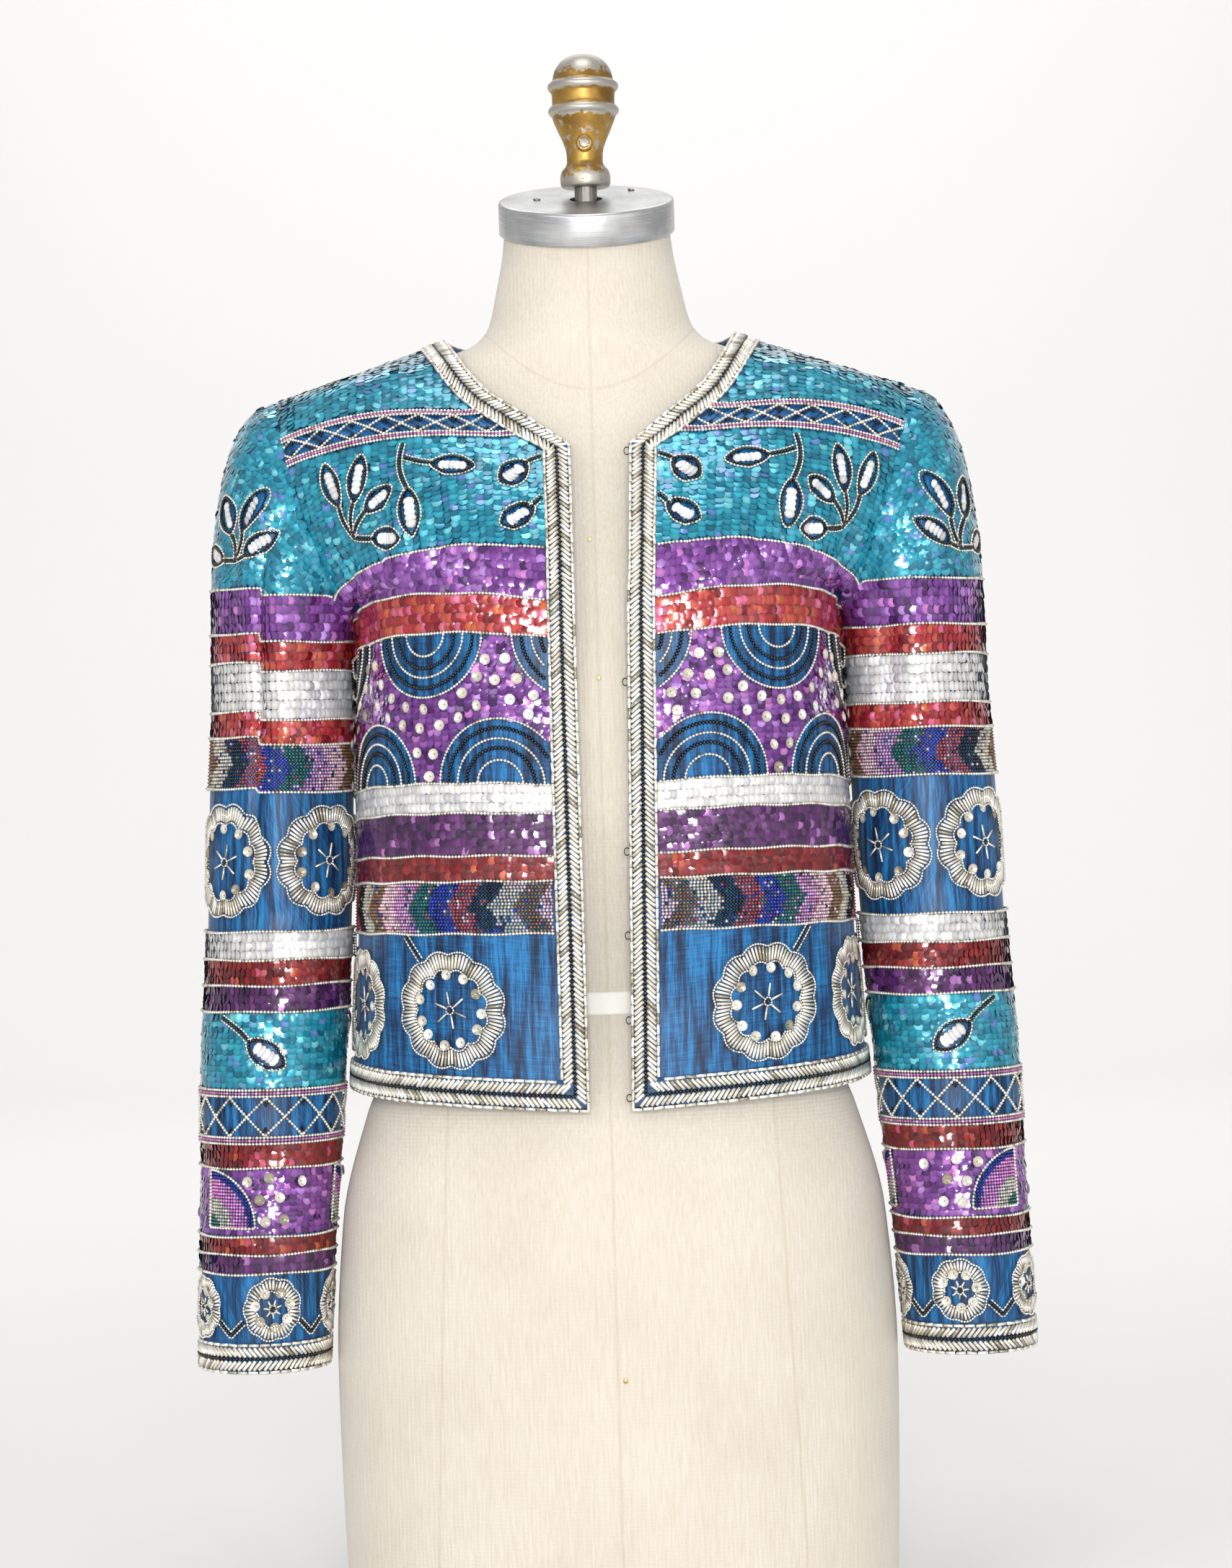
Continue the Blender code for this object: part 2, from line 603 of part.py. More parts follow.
def turned(name, profile, steps, finish, sharp=40):
    """A profile at +X turned about Z."""
    shape = bmesh.new()
    corners = [shape.verts.new((r, 0, z)) for r, z in profile]
    for a, b in zip(corners, corners[1:]):
        shape.edges.new((a, b))
    mesh = bpy.data.meshes.new(name)
    shape.to_mesh(mesh)
    shape.free()
    made = add(name, mesh, form_frame, finish, sharp)
    screw = made.modifiers.new("Turn", "SCREW")
    screw.axis = "Z"
    screw.steps = steps
    screw.render_steps = steps
    screw.use_merge_vertices = True
    screw.merge_threshold = 0.0001
    screw.use_smooth_shade = True
    return made


def rod(name, radius, length, segments, height, finish):
    """A plain upright rod on the form's axis, centred at a height."""
    shape = bmesh.new()
    bmesh.ops.create_cone(
        shape, cap_ends=True, segments=segments, radius1=radius, radius2=radius, depth=length
    )
    mesh = bpy.data.meshes.new(name)
    shape.to_mesh(mesh)
    shape.free()
    made = add(name, mesh, form_frame, finish)
    made.location = (0, 0, height)
    return made


for old in list(bpy.data.objects):
    bpy.data.objects.remove(old, do_unlink=True)

jacket_and_form = bpy.data.collections.new("sequin_jacket")
bpy.context.scene.collection.children.link(jacket_and_form)
jacket_frame = bpy.data.objects.new("jacket", None)
form_frame = bpy.data.objects.new("dress_form", None)
jacket_and_form.objects.link(jacket_frame)
jacket_and_form.objects.link(form_frame)

front_cloth = material("sequinned_silk_front", "7A3F94", 0.35)
back_cloth = material("sequinned_silk_back", "1E93AE", 0.35)
sleeve_cloth = material("sequinned_silk_sleeve", "17568F", 0.35)
bugle_border = material("bugle_bead_border", "B9B19A", 0.30, 0.7)
linen = material("linen_cover", "E8DAC0", 0.90)
tape_cloth = material("cotton_tape", "F3EFE6", 0.85)
aluminium = material("spun_aluminium", "B9BABC", 0.32, 1.0)
old_gold = material("worn_gilt_metal", "A9823A", 0.42, 1.0)
post_steel = material("dull_steel", "77736C", 0.45, 1.0)

# The fronts, each with the border along its neckline, front edge and hem.
fronts = {}
for side in ("left", "right"):
    grid, normals = front_panel(side)
    fronts[side] = (grid, normals)
    wall(f"front_{side}", grid, grid - normals * WALL, jacket_frame, front_cloth)
    edge_cells = np.zeros((grid.shape[0] - 1, grid.shape[1] - 1), bool)
    edge_cells[:, 0] = True
    edge_cells[0, :] = True
    border(f"border_front_{side}", grid, normals, jacket_frame, edge_cells)

# The back in one piece, with a border along its neckline and one along its hem.
back_grid, back_normals = back_panel()
wall("back", back_grid, back_grid - back_normals * WALL, jacket_frame, back_cloth)
hem_cells = np.zeros((back_grid.shape[0] - 1, back_grid.shape[1] - 1), bool)
hem_cells[0, :] = True
border("border_back_hem", back_grid, back_normals, jacket_frame, hem_cells)
neck_grid, neck_normals = border_back_neck(back_grid, back_normals)
border("border_back_neck", neck_grid, neck_normals, jacket_frame, lift=NECK_BORDER_LIFT)

# The sleeves, each set into its armhole and bordered at the cuff.
for side in ("left", "right"):
    loop, loop_normals = armhole(*fronts["left"], back_grid, back_normals)
    grid, normals = sleeve(side, loop, loop_normals)
    wall(f"sleeve_{side}", grid, grid - normals * WALL, jacket_frame, sleeve_cloth, around=True)
    cuff_cells = np.zeros((grid.shape[0] - 1, grid.shape[1]), bool)
    cuff_cells[-CUFF_BORDER_RINGS:, :] = True
    border(f"border_cuff_{side}", grid, normals, jacket_frame, cuff_cells, around=True)

# The dress form: body, waist tape, neck cap, post and finial.
form_torso()
tape_low, tape_high = TAPE_HEIGHT - TAPE_WIDTH / 2, TAPE_HEIGHT + TAPE_WIDTH / 2
tape_levels = (tape_low, TAPE_HEIGHT, tape_high)
tape_inner = np.array([form_ring(z, TAPE_LIFT) for z in tape_levels])
tape_outer = np.array([form_ring(z, TAPE_LIFT + TAPE_THICK) for z in tape_levels])
wall("waist_tape", tape_outer, tape_inner, form_frame, tape_cloth, around=True)

cap = turned(
    "neck_cap",
    (
        (CAP_HOLE, 0),
        (CAP_RADIUS - 0.0020, 0),
        (CAP_RADIUS - 0.0006, -0.0006),
        (CAP_RADIUS, -0.0020),
        (CAP_RADIUS, -CAP_HEIGHT),
        (CAP_RADIUS - CAP_WALL, -CAP_HEIGHT),
        (CAP_RADIUS - CAP_WALL, -CAP_WALL),
        (CAP_HOLE, -CAP_WALL),
        (CAP_HOLE, 0),
    ),
    40,
    aluminium,
)
cap.location = (0, 0, CAP_TOP)
cap.rotation_euler = (CAP_TILT, 0, 0)

post_low = NECK_TOP + POST_RADIUS * math.tan(CAP_TILT) + PIECE_GAP
post_high = FINIAL_FOOT - PIECE_GAP
rod("finial_post", POST_RADIUS, post_high - post_low, 20, (post_low + post_high) / 2, post_steel)
turned("finial", list(zip(FINIAL["radius"], FINIAL["z"])), 28, old_gold, 50)
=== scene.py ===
import math

import bmesh
import bpy
import numpy as np
from mathutils import Euler, Matrix, Vector
from mathutils.bvhtree import BVHTree


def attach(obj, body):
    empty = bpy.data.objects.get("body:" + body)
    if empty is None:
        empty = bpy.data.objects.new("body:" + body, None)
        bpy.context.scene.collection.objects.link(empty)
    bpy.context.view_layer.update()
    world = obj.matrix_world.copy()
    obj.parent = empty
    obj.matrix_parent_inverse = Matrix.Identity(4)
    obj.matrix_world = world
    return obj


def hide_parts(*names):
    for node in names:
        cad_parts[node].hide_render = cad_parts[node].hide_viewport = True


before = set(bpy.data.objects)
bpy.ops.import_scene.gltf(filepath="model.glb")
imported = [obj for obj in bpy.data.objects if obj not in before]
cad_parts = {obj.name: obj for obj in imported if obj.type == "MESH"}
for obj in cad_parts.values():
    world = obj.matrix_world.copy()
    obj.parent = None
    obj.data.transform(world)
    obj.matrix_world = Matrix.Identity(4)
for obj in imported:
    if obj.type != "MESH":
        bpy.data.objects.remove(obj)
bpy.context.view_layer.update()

# The camera stands 2.4 m in front at the height of the jacket's chevrons, level, with the slight
# lean of the photograph. Its view is the photograph's 1708 by 2174 frame.
view = bpy.data.cameras.new("studio_camera")
view.lens = 90
view.sensor_width = 36
view.clip_start = 0.05
camera = bpy.data.objects.new("studio_camera", view)
bpy.context.scene.collection.objects.link(camera)
camera.location = (0.0084, -2.397, 0.504)
camera.rotation_euler = (math.pi / 2, 0.0279, 0)
bpy.context.scene.camera = camera

# The room: a white paper sweep under soft boxes, three in front, one above and one that lights the
# sweep behind, with two small lamps that make the sequins glint.


def add_node(tree, kind, inputs=None, **settings):
    """A node with its settings and its inputs, which are values or other nodes' outputs."""
    node = tree.nodes.new("ShaderNode" + kind)
    for key, setting in settings.items():
        setattr(node, key, setting)
    for key, given in (inputs or {}).items():
        if isinstance(given, bpy.types.NodeSocket):
            tree.links.new(given, node.inputs[key])
        else:
            node.inputs[key].default_value = given
    return node


def colour(code):
    """An sRGB hex colour as linear red, green, blue and alpha."""
    channels = [int(code[i : i + 2], 16) / 255 for i in (0, 2, 4)]
    return (*[c / 12.92 if c <= 0.04045 else ((c + 0.055) / 1.055) ** 2.4 for c in channels], 1.0)


def new_finish(name, **sockets):
    """A material with a Principled surface, its node tree and that surface."""
    finish = bpy.data.materials.new(name)
    finish.use_nodes = True
    surface = finish.node_tree.nodes["Principled BSDF"]
    for key, given in sockets.items():
        surface.inputs[key.replace("_", " ")].default_value = given
    return finish, finish.node_tree, surface


paper, paper_tree, paper_surface = new_finish("matt_white_paper", Roughness=0.95)
paper_grain = add_node(paper_tree, "TexNoise", {"Scale": 3.0, "Detail": 2.0})
paper_mix = add_node(paper_tree, "Mix", {"Factor": paper_grain.outputs["Fac"]}, data_type="RGBA")
paper_mix.inputs["A"].default_value = colour("F1F0EF")
paper_mix.inputs["B"].default_value = colour("F4F3F2")
paper_tree.links.new(paper_mix.outputs["Result"], paper_surface.inputs["Base Color"])

sweep_profile = [(-5.0, 0.0), (4.2, 0.0)]
bend = np.linspace(0.1, 1.5708, 14)
sweep_profile += [(4.2 + 1.2 * math.sin(a), 1.2 - 1.2 * math.cos(a)) for a in bend]
sweep_profile += [(5.4, 5.0)]
sweep_mesh = bpy.data.meshes.new("paper_sweep")
sweep_mesh.from_pydata(
    [(x, y, z) for y, z in sweep_profile for x in (-6.0, 6.0)],
    [],
    [(2 * i, 2 * i + 1, 2 * i + 3, 2 * i + 2) for i in range(len(sweep_profile) - 1)],
)
sweep_mesh.shade_smooth()
sweep_mesh.materials.append(paper)
sweep = bpy.data.objects.new("paper_sweep", sweep_mesh)
bpy.context.scene.collection.objects.link(sweep)

world = bpy.data.worlds.new("studio_air")
world.use_nodes = True
world.node_tree.nodes["Background"].inputs["Color"].default_value = colour("FFFFFF")
world.node_tree.nodes["Background"].inputs["Strength"].default_value = 0.52
bpy.context.scene.world = world
bpy.context.scene.view_settings.view_transform = "Standard"


def lamp(name, place, aim, size, power):
    """A square soft box at a place, turned to a point."""
    data = bpy.data.lights.new(name, "AREA")
    data.size = size
    data.energy = power
    made = bpy.data.objects.new(name, data)
    bpy.context.scene.collection.objects.link(made)
    made.location = place
    away = [place[k] - aim[k] for k in range(3)]
    made.rotation_euler = (
        math.atan2(math.hypot(away[0], away[1]), away[2]),
        0,
        math.atan2(away[0], -away[1]),
    )


lamp("key_box", (-1.5, -2.1, 1.7), (0, 0, 0.45), 1.1, 9)
lamp("fill_box", (1.9, -1.9, 1.2), (0, 0, 0.45), 1.4, 6)
lamp("front_box", (0.08, -3.2, 0.75), (0, 0, 0.5), 0.8, 54)
lamp("top_box", (0.0, -0.5, 2.6), (0, 0, 0.5), 1.0, 10)
lamp("sweep_box", (0.0, 2.6, 3.6), (0, 4.6, 0.6), 3.0, 70)
lamp("glint_left", (-1.1, -2.6, 1.0), (0, 0, 0.5), 0.12, 3.0)
lamp("glint_right", (0.9, -2.7, 1.25), (0, 0, 0.5), 0.12, 3.0)

# The form's body: papier mache padded and covered in close linen, sewn from gores. The covers meet
# at the centre front, at the princess lines and round the base of the neck. It leans a little at the
# neck, and its underside is flat.


def table(columns, *rows):
    """One array of numbers for each named column."""
    return dict(zip(columns.split(), np.array(rows, float).T))


def value(rows, column, place):
    """A column's value between the rows, on a smooth curve that doesn't overshoot them."""
    keys = rows[next(iter(rows))]
    values = rows[column]
    steps = np.diff(keys)
    slopes = np.diff(values) / steps
    bends = np.concatenate([slopes[:1], np.zeros(len(keys) - 2), slopes[-1:]])
    for i in range(1, len(keys) - 1):
        if slopes[i - 1] * slopes[i] > 0:
            bends[i] = 2 * slopes[i - 1] * slopes[i] / (slopes[i - 1] + slopes[i])
    place = np.clip(place, keys[0], keys[-1])
    i = np.clip(np.searchsorted(keys, place, side="right") - 1, 0, len(keys) - 2)
    t = (place - keys[i]) / steps[i]
    start = (2 * t**3 - 3 * t**2 + 1) * values[i] + (t**3 - 2 * t**2 + t) * steps[i] * bends[i]
    end = (3 * t**2 - 2 * t**3) * values[i + 1] + (t**3 - t**2) * steps[i] * bends[i + 1]
    return start + end


def show(name, mesh, finish, node_slot, *stands_for):
    """A mesh as a piece that rides on the jacket and form, in place of the solids it stands for."""
    mesh.shade_smooth()
    mesh.materials.append(finish)
    piece = bpy.data.objects.new(name, mesh)
    bpy.context.scene.collection.objects.link(piece)
    if stands_for:
        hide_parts(*stands_for)
    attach(piece, "root")
    return piece


def cells_of(down, across, around=False):
    """The corners of the four-sided cells between a grid's points."""
    r, c = np.meshgrid(np.arange(down - 1), np.arange(across if around else across - 1), indexing="ij")
    d = (c + 1) % across
    corners = [r * across + c, r * across + d, (r + 1) * across + d, (r + 1) * across + c]
    return np.stack(corners, -1).reshape(-1, 4)


def write_uv(mesh, uv):
    """A UV map from each point's pair of coordinates."""
    layer = mesh.uv_layers.new(name="cloth")
    corner = np.zeros(len(mesh.loops), np.int32)
    mesh.loops.foreach_get("vertex_index", corner)
    layer.uv.foreach_set("vector", uv.reshape(-1, 2)[corner].astype(np.float32).ravel())


def close_up(mesh, change=None):
    """A mesh changed by a tool, with all its faces turned outwards."""
    shape = bmesh.new()
    shape.from_mesh(mesh)
    if change:
        change(shape)
    bmesh.ops.recalc_face_normals(shape, faces=shape.faces)
    shape.to_mesh(mesh)
    shape.free()


def grid_mesh(name, grid, around=False):
    """A mesh of four-sided cells between a grid's points."""
    mesh = bpy.data.meshes.new(name)
    mesh.from_pydata(grid.reshape(-1, 3).tolist(), [], cells_of(*grid.shape[:2], around).tolist())
    return mesh


FORM = table(
    "z half_width front back power",
    (0.000, 0.1670, 0.1120, 0.1180, 2.20),
    (0.080, 0.1700, 0.1140, 0.1240, 2.20),
    (0.155, 0.1712, 0.1130, 0.1270, 2.20),
    (0.243, 0.1655, 0.1090, 0.1170, 2.20),
    (0.308, 0.1485, 0.1000, 0.0980, 2.20),
    (0.375, 0.1220, 0.0880, 0.0820, 2.15),
    (0.440, 0.1270, 0.0980, 0.0860, 2.15),
    (0.500, 0.1360, 0.1110, 0.0920, 2.15),
    (0.560, 0.1395, 0.1160, 0.0970, 2.15),
    (0.610, 0.1380, 0.1100, 0.1000, 2.10),
    (0.650, 0.1410, 0.0960, 0.0980, 2.10),
    (0.685, 0.1540, 0.0800, 0.0910, 2.05),
    (0.708, 0.1600, 0.0700, 0.0830, 2.00),
    (0.726, 0.1560, 0.0620, 0.0750, 2.00),
    (0.740, 0.1480, 0.0560, 0.0680, 2.00),
    (0.750, 0.1340, 0.0535, 0.0640, 2.00),
    (0.758, 0.1160, 0.0525, 0.0620, 2.00),
    (0.766, 0.0930, 0.0520, 0.0606, 2.00),
    (0.774, 0.0710, 0.0515, 0.0582, 2.00),
    (0.785, 0.0620, 0.0475, 0.0562, 2.00),
    (0.805, 0.0570, 0.0435, 0.0562, 2.00),
    (0.830, 0.0520, 0.0410, 0.0535, 2.00),
    (0.857, 0.0492, 0.0455, 0.0465, 2.00),
)
CAP_TILT = math.radians(18)
NECK_BASE, NECK_TOP = 0.780, 0.857


def form_ring(z, count, lift=0.0):
    """One section of the form. Above the neck's base it leans forward with the cap."""
    angles = 2 * math.pi * np.arange(count) / count
    c, s = np.cos(angles), np.sin(angles)
    sizes = [float(value(FORM, column, z)) for column in ("half_width", "front", "back", "power")]
    half_width, front, back = (size + lift for size in sizes[:3])
    power = 2 / sizes[3]
    x = half_width * np.sign(c) * np.abs(c) ** power
    y = (back - front) / 2 + (back + front) / 2 * np.sign(s) * np.abs(s) ** power
    lean = np.clip((z - NECK_BASE) / (NECK_TOP - NECK_BASE), 0, 1) ** 1.5
    return np.stack([x, y, z + y * math.tan(CAP_TILT) * lean], axis=1)


form_levels = list(np.linspace(0.0, 0.70, 71)) + list(np.linspace(0.7035, NECK_TOP, 46))
form_rings = [form_ring(z, 120) for z in form_levels]
# The lower edge turns under in a small round.
under_edge = [form_rings[0] * (0.9, 0.9, 1), form_rings[0] * (0.985, 0.985, 1) + (0, 0, 0.0005)]
form_rings[0] = form_rings[0] + (0, 0, 0.004)
form_mesh = grid_mesh("form_body", np.array(under_edge + form_rings), around=True)
close_up(
    form_mesh,
    lambda shape: bmesh.ops.holes_fill(shape, edges=[e for e in shape.edges if e.is_boundary]),
)

# Linen is matt and uneven: slubs run along both threads, and the sewn gores show as fine pressed
# lines. The real threads are 0.5 mm apart, drawn here at 1.2 mm so that they show.
linen, tree, surface = new_finish(
    "unbleached_linen", Roughness=0.92, Sheen_Weight=0.25, Sheen_Roughness=0.6
)
spot = add_node(tree, "TexCoord")
place_on_form = spot.outputs["Object"]
parts = add_node(tree, "SeparateXYZ", {"Vector": place_on_form})
side = add_node(tree, "Math", {0: parts.outputs["X"]}, operation="ABSOLUTE")
princess = add_node(tree, "Math", {0: parts.outputs["Z"], 1: -0.045, 2: 0.111}, operation="MULTIPLY_ADD")
princess = add_node(tree, "Math", {0: side.outputs[0], 1: princess.outputs[0]}, operation="SUBTRACT")
princess = add_node(tree, "Math", {0: princess.outputs[0]}, operation="ABSOLUTE")
bow = add_node(tree, "Math", {0: side.outputs[0], 1: side.outputs[0]}, operation="MULTIPLY")
bow = add_node(tree, "Math", {0: bow.outputs[0], 1: -9.5, 2: -0.7405}, operation="MULTIPLY_ADD")
neck_line = add_node(tree, "Math", {0: parts.outputs["Z"], 1: bow.outputs[0]}, operation="ADD")
neck_line = add_node(tree, "Math", {0: neck_line.outputs[0]}, operation="ABSOLUTE")
nearest = add_node(tree, "Math", {0: side.outputs[0], 1: princess.outputs[0]}, operation="MINIMUM")
nearest = add_node(tree, "Math", {0: nearest.outputs[0], 1: neck_line.outputs[0]}, operation="MINIMUM")
seam = add_node(tree, "MapRange", {
    "Value": nearest.outputs[0], "From Min": 0.0003, "From Max": 0.0014, "To Min": 1.0, "To Max": 0.0,
})
thread = {"Vector": place_on_form, "Scale": 130.0, "Distortion": 1.2, "Detail": 1.0}
warp = add_node(tree, "TexWave", thread, bands_direction="X")
weft = add_node(tree, "TexWave", thread, bands_direction="Z")
weave = add_node(tree, "Math", {0: warp.outputs["Fac"], 1: weft.outputs["Fac"]}, operation="ADD")
stretch = add_node(tree, "Mapping", {"Vector": place_on_form, "Scale": (900, 900, 60)})
slubs = add_node(tree, "TexNoise", {"Vector": stretch.outputs[0], "Scale": 1.0, "Detail": 3.0})
clouds = add_node(tree, "TexNoise", {"Vector": place_on_form, "Scale": 14.0, "Detail": 4.0})
tone = add_node(tree, "ValToRGB", {"Fac": clouds.outputs["Fac"]})
for stop, position, code in zip(tone.color_ramp.elements, (0.25, 0.75), ("D3CABB", "DFD7CA")):
    stop.position = position
    stop.color = colour(code)
threads = add_node(tree, "MapRange", {
    "Value": slubs.outputs["Fac"], "From Min": 0.3, "From Max": 0.8, "To Min": 0.0, "To Max": 0.34,
})
toned = add_node(tree, "Mix", {"Factor": threads.outputs[0]}, data_type="RGBA")
tree.links.new(tone.outputs["Color"], toned.inputs["A"])
toned.inputs["B"].default_value = colour("AE9F80")
seam_shade = add_node(tree, "Math", {0: seam.outputs[0], 1: 0.16}, operation="MULTIPLY")
linen_colour = add_node(tree, "Mix", {"Factor": seam_shade.outputs[0]}, data_type="RGBA")
tree.links.new(toned.outputs["Result"], linen_colour.inputs["A"])
linen_colour.inputs["B"].default_value = colour("A8926A")
tree.links.new(linen_colour.outputs["Result"], surface.inputs["Base Color"])
weave_bump = add_node(tree, "Bump", {"Height": weave.outputs[0], "Strength": 0.3, "Distance": 0.0004})
seam_dip = add_node(tree, "Math", {0: seam.outputs[0], 1: -1.0}, operation="MULTIPLY")
seam_bump = add_node(tree, "Bump", {
    "Height": seam_dip.outputs[0], "Strength": 0.3, "Distance": 0.0006, "Normal": weave_bump.outputs[0],
})
tree.links.new(seam_bump.outputs[0], surface.inputs["Normal"])
show("form_body", form_mesh, linen, "linen", "form_torso")

# The waist tape: 13.6 mm of white cotton, pinned round the waist, 1 mm off the linen.
tape_levels = np.linspace(0.3682, 0.3818, 9)
tape_crown = 0.0004 * np.sqrt(np.clip(1 - np.linspace(-1, 1, 9) ** 2, 0, 1))
tape_out = np.array([form_ring(z, 120, 0.0010 + c) for z, c in zip(tape_levels, tape_crown)])
tape_in = np.array([form_ring(z, 120, 0.0004) for z in tape_levels])


def shell(name, outer, inner, uv, around=False):
    """A closed thin wall between two grids of points, with the cloth's own coordinates in metres."""
    down, across = outer.shape[:2]
    half = down * across
    cells = cells_of(down, across, around)
    number = np.arange(half).reshape(down, across)
    if around:
        number = np.concatenate([number, number[:, :1]], axis=1)
    rims = [(number[0, 1:], number[0, :-1]), (number[-1, :-1], number[-1, 1:])]
    if not around:
        rims += [(number[:-1, 0], number[1:, 0]), (number[1:, -1], number[:-1, -1])]
    faces = [cells, half + cells[:, ::-1]]
    faces += [np.stack([a, b, half + b, half + a], -1) for a, b in rims]
    mesh = bpy.data.meshes.new(name)
    points = np.concatenate([outer.reshape(-1, 3), inner.reshape(-1, 3)])
    mesh.from_pydata(points.tolist(), [], np.concatenate(faces).tolist())
    write_uv(mesh, np.concatenate([uv.reshape(-1, 2)] * 2))
    close_up(mesh)
    return mesh


# Cotton is matt and warm white, with slanting twill ribs just fine enough to show.
cotton, tree, surface = new_finish("white_cotton_tape", Roughness=0.85, Sheen_Weight=0.2)
surface.inputs["Base Color"].default_value = colour("F3EFE6")
spot = add_node(tree, "TexCoord")
twill = add_node(tree, "Mapping", {"Vector": spot.outputs["UV"], "Rotation": (0, 0, 0.6)})
ribs = add_node(tree, "TexWave", {"Vector": twill.outputs[0], "Scale": 260.0})
rib_bump = add_node(tree, "Bump", {"Height": ribs.outputs["Fac"], "Strength": 0.25, "Distance": 0.0003})
tree.links.new(rib_bump.outputs[0], surface.inputs["Normal"])
tape_u, tape_v = np.meshgrid(np.arange(120) * 0.0052, tape_levels)
tape_mesh = shell("waist_tape_cotton", tape_out, tape_in, np.stack([tape_u, tape_v], -1), around=True)
show("waist_tape_cotton", tape_mesh, cotton, "cotton_tape", "waist_tape")

# The metal fittings: the spun cap on the neck, its two small screws, the post, and the turned finial
# with a boss and a set screw at its front. The cap is brushed round. The finial's gilt has worn to
# silver on its dome, its two rings and its foot.
# Spun aluminium is bright in fine rings, and cloudy where it has been handled.
aluminium, tree, surface = new_finish("spun_aluminium", Metallic=1.0, Roughness=0.34)
spot = add_node(tree, "TexCoord")
rings = add_node(tree, "Mapping", {"Vector": spot.outputs["UV"], "Scale": (10, 2600, 1)})
brushing = add_node(tree, "TexNoise", {"Vector": rings.outputs[0], "Scale": 1.0, "Detail": 3.0})
smudges = add_node(tree, "TexNoise", {"Vector": spot.outputs["Object"], "Scale": 40.0, "Detail": 3.0})
both = {0: brushing.outputs["Fac"], 1: smudges.outputs["Fac"]}
streaks = add_node(tree, "Math", both, operation="MULTIPLY")
cap_tone = add_node(tree, "ValToRGB", {"Fac": streaks.outputs[0]})
for stop, position, code in zip(cap_tone.color_ramp.elements, (0.15, 0.36), ("B4B5B7", "DEDEDD")):
    stop.position = position
    stop.color = colour(code)
tree.links.new(cap_tone.outputs["Color"], surface.inputs["Base Color"])
brushed = {"Height": brushing.outputs["Fac"], "Strength": 0.15, "Distance": 0.0002}
cap_bump = add_node(tree, "Bump", brushed)
tree.links.new(cap_bump.outputs[0], surface.inputs["Normal"])

# Worn gilt is a dull gold, with pale bare metal in patches where hands have rubbed it.
gilt, tree, surface = new_finish("worn_gilt_brass", Metallic=0.9, Roughness=0.4)
spot = add_node(tree, "TexCoord")
parts = add_node(tree, "SeparateXYZ", {"Vector": spot.outputs["Object"]})
height = add_node(tree, "MapRange", {"Value": parts.outputs["Z"], "From Min": 0.869, "From Max": 0.9505})
worn_at = add_node(tree, "ValToRGB", {"Fac": height.outputs[0]})
stops = worn_at.color_ramp.elements
stops[0].color = (0.6, 0.6, 0.6, 1)
stops[1].color = (0.74, 0.74, 0.74, 1)
# How worn it is at shares of its height: most on the rings and the dome.
for position, share in (
    (0.09, 0.56), (0.16, 0.42), (0.30, 0.44), (0.50, 0.38), (0.555, 0.70), (0.595, 0.70),
    (0.62, 0.26), (0.71, 0.26), (0.735, 0.74), (0.775, 0.74), (0.81, 0.36), (0.90, 0.60),
):
    stops.new(position).color = (share, share, share, 1)
wear = {"Vector": spot.outputs["Object"], "Scale": 190.0, "Detail": 6.0, "Roughness": 0.7}
wear = add_node(tree, "TexNoise", wear)
worn = add_node(tree, "Math", {0: worn_at.outputs["Color"], 1: wear.outputs["Fac"]}, operation="SUBTRACT")
worn = add_node(tree, "MapRange", {"Value": worn.outputs[0], "From Min": -0.03, "From Max": 0.03})
cloudy = add_node(tree, "TexNoise", {"Vector": spot.outputs["Object"], "Scale": 60.0, "Detail": 3.0})
gold_tone = add_node(tree, "ValToRGB", {"Fac": cloudy.outputs["Fac"]})
for stop, position, code in zip(gold_tone.color_ramp.elements, (0.35, 0.65), ("8F6C34", "BE9850")):
    stop.position = position
    stop.color = colour(code)
gilt_mix = add_node(tree, "Mix", {"Factor": worn.outputs[0]}, data_type="RGBA")
tree.links.new(gold_tone.outputs["Color"], gilt_mix.inputs["A"])
gilt_mix.inputs["B"].default_value = colour("BDB8AE")
tree.links.new(gilt_mix.outputs["Result"], surface.inputs["Base Color"])
wear_bump = add_node(tree, "Bump", {"Height": worn.outputs[0], "Strength": 0.25, "Distance": -0.0003})
tree.links.new(wear_bump.outputs[0], surface.inputs["Normal"])

# Drawn steel is grey with a soft shine and no pattern.
steel, tree, surface = new_finish("dull_steel_rod", Metallic=1.0, Roughness=0.42)
surface.inputs["Base Color"].default_value = colour("8B8780")


def take(made):
    """Selects one piece alone, for the tools that follow."""
    bpy.ops.object.select_all(action="DESELECT")
    made.select_set(True)
    bpy.context.view_layer.objects.active = made


def lathe(name, radii, heights, steps, tilt, place, finish, node_slot, stands_for):
    """A closed profile turned about an upright axis, then tilted forward and set in place."""
    around = np.arange(steps + 1) / steps * 2 * math.pi
    ring = np.stack([np.cos(around), np.sin(around), around * 0], 1)
    grid = np.array([ring * r + (0, 0, z) for r, z in zip(radii, heights)])
    run = np.concatenate([[0], np.hypot(np.diff(radii), np.diff(heights)).cumsum()])
    mesh = grid_mesh(name, grid)
    write_uv(mesh, np.stack(np.meshgrid(around / 2 / math.pi, run), -1))
    close_up(mesh, lambda shape: bmesh.ops.remove_doubles(shape, verts=shape.verts, dist=0.00003))
    mesh.transform(Matrix.LocRotScale(place, Euler((tilt, 0, 0)), None))
    take(show(name, mesh, finish, node_slot, stands_for))
    bpy.ops.object.shade_smooth_by_angle(angle=0.7)


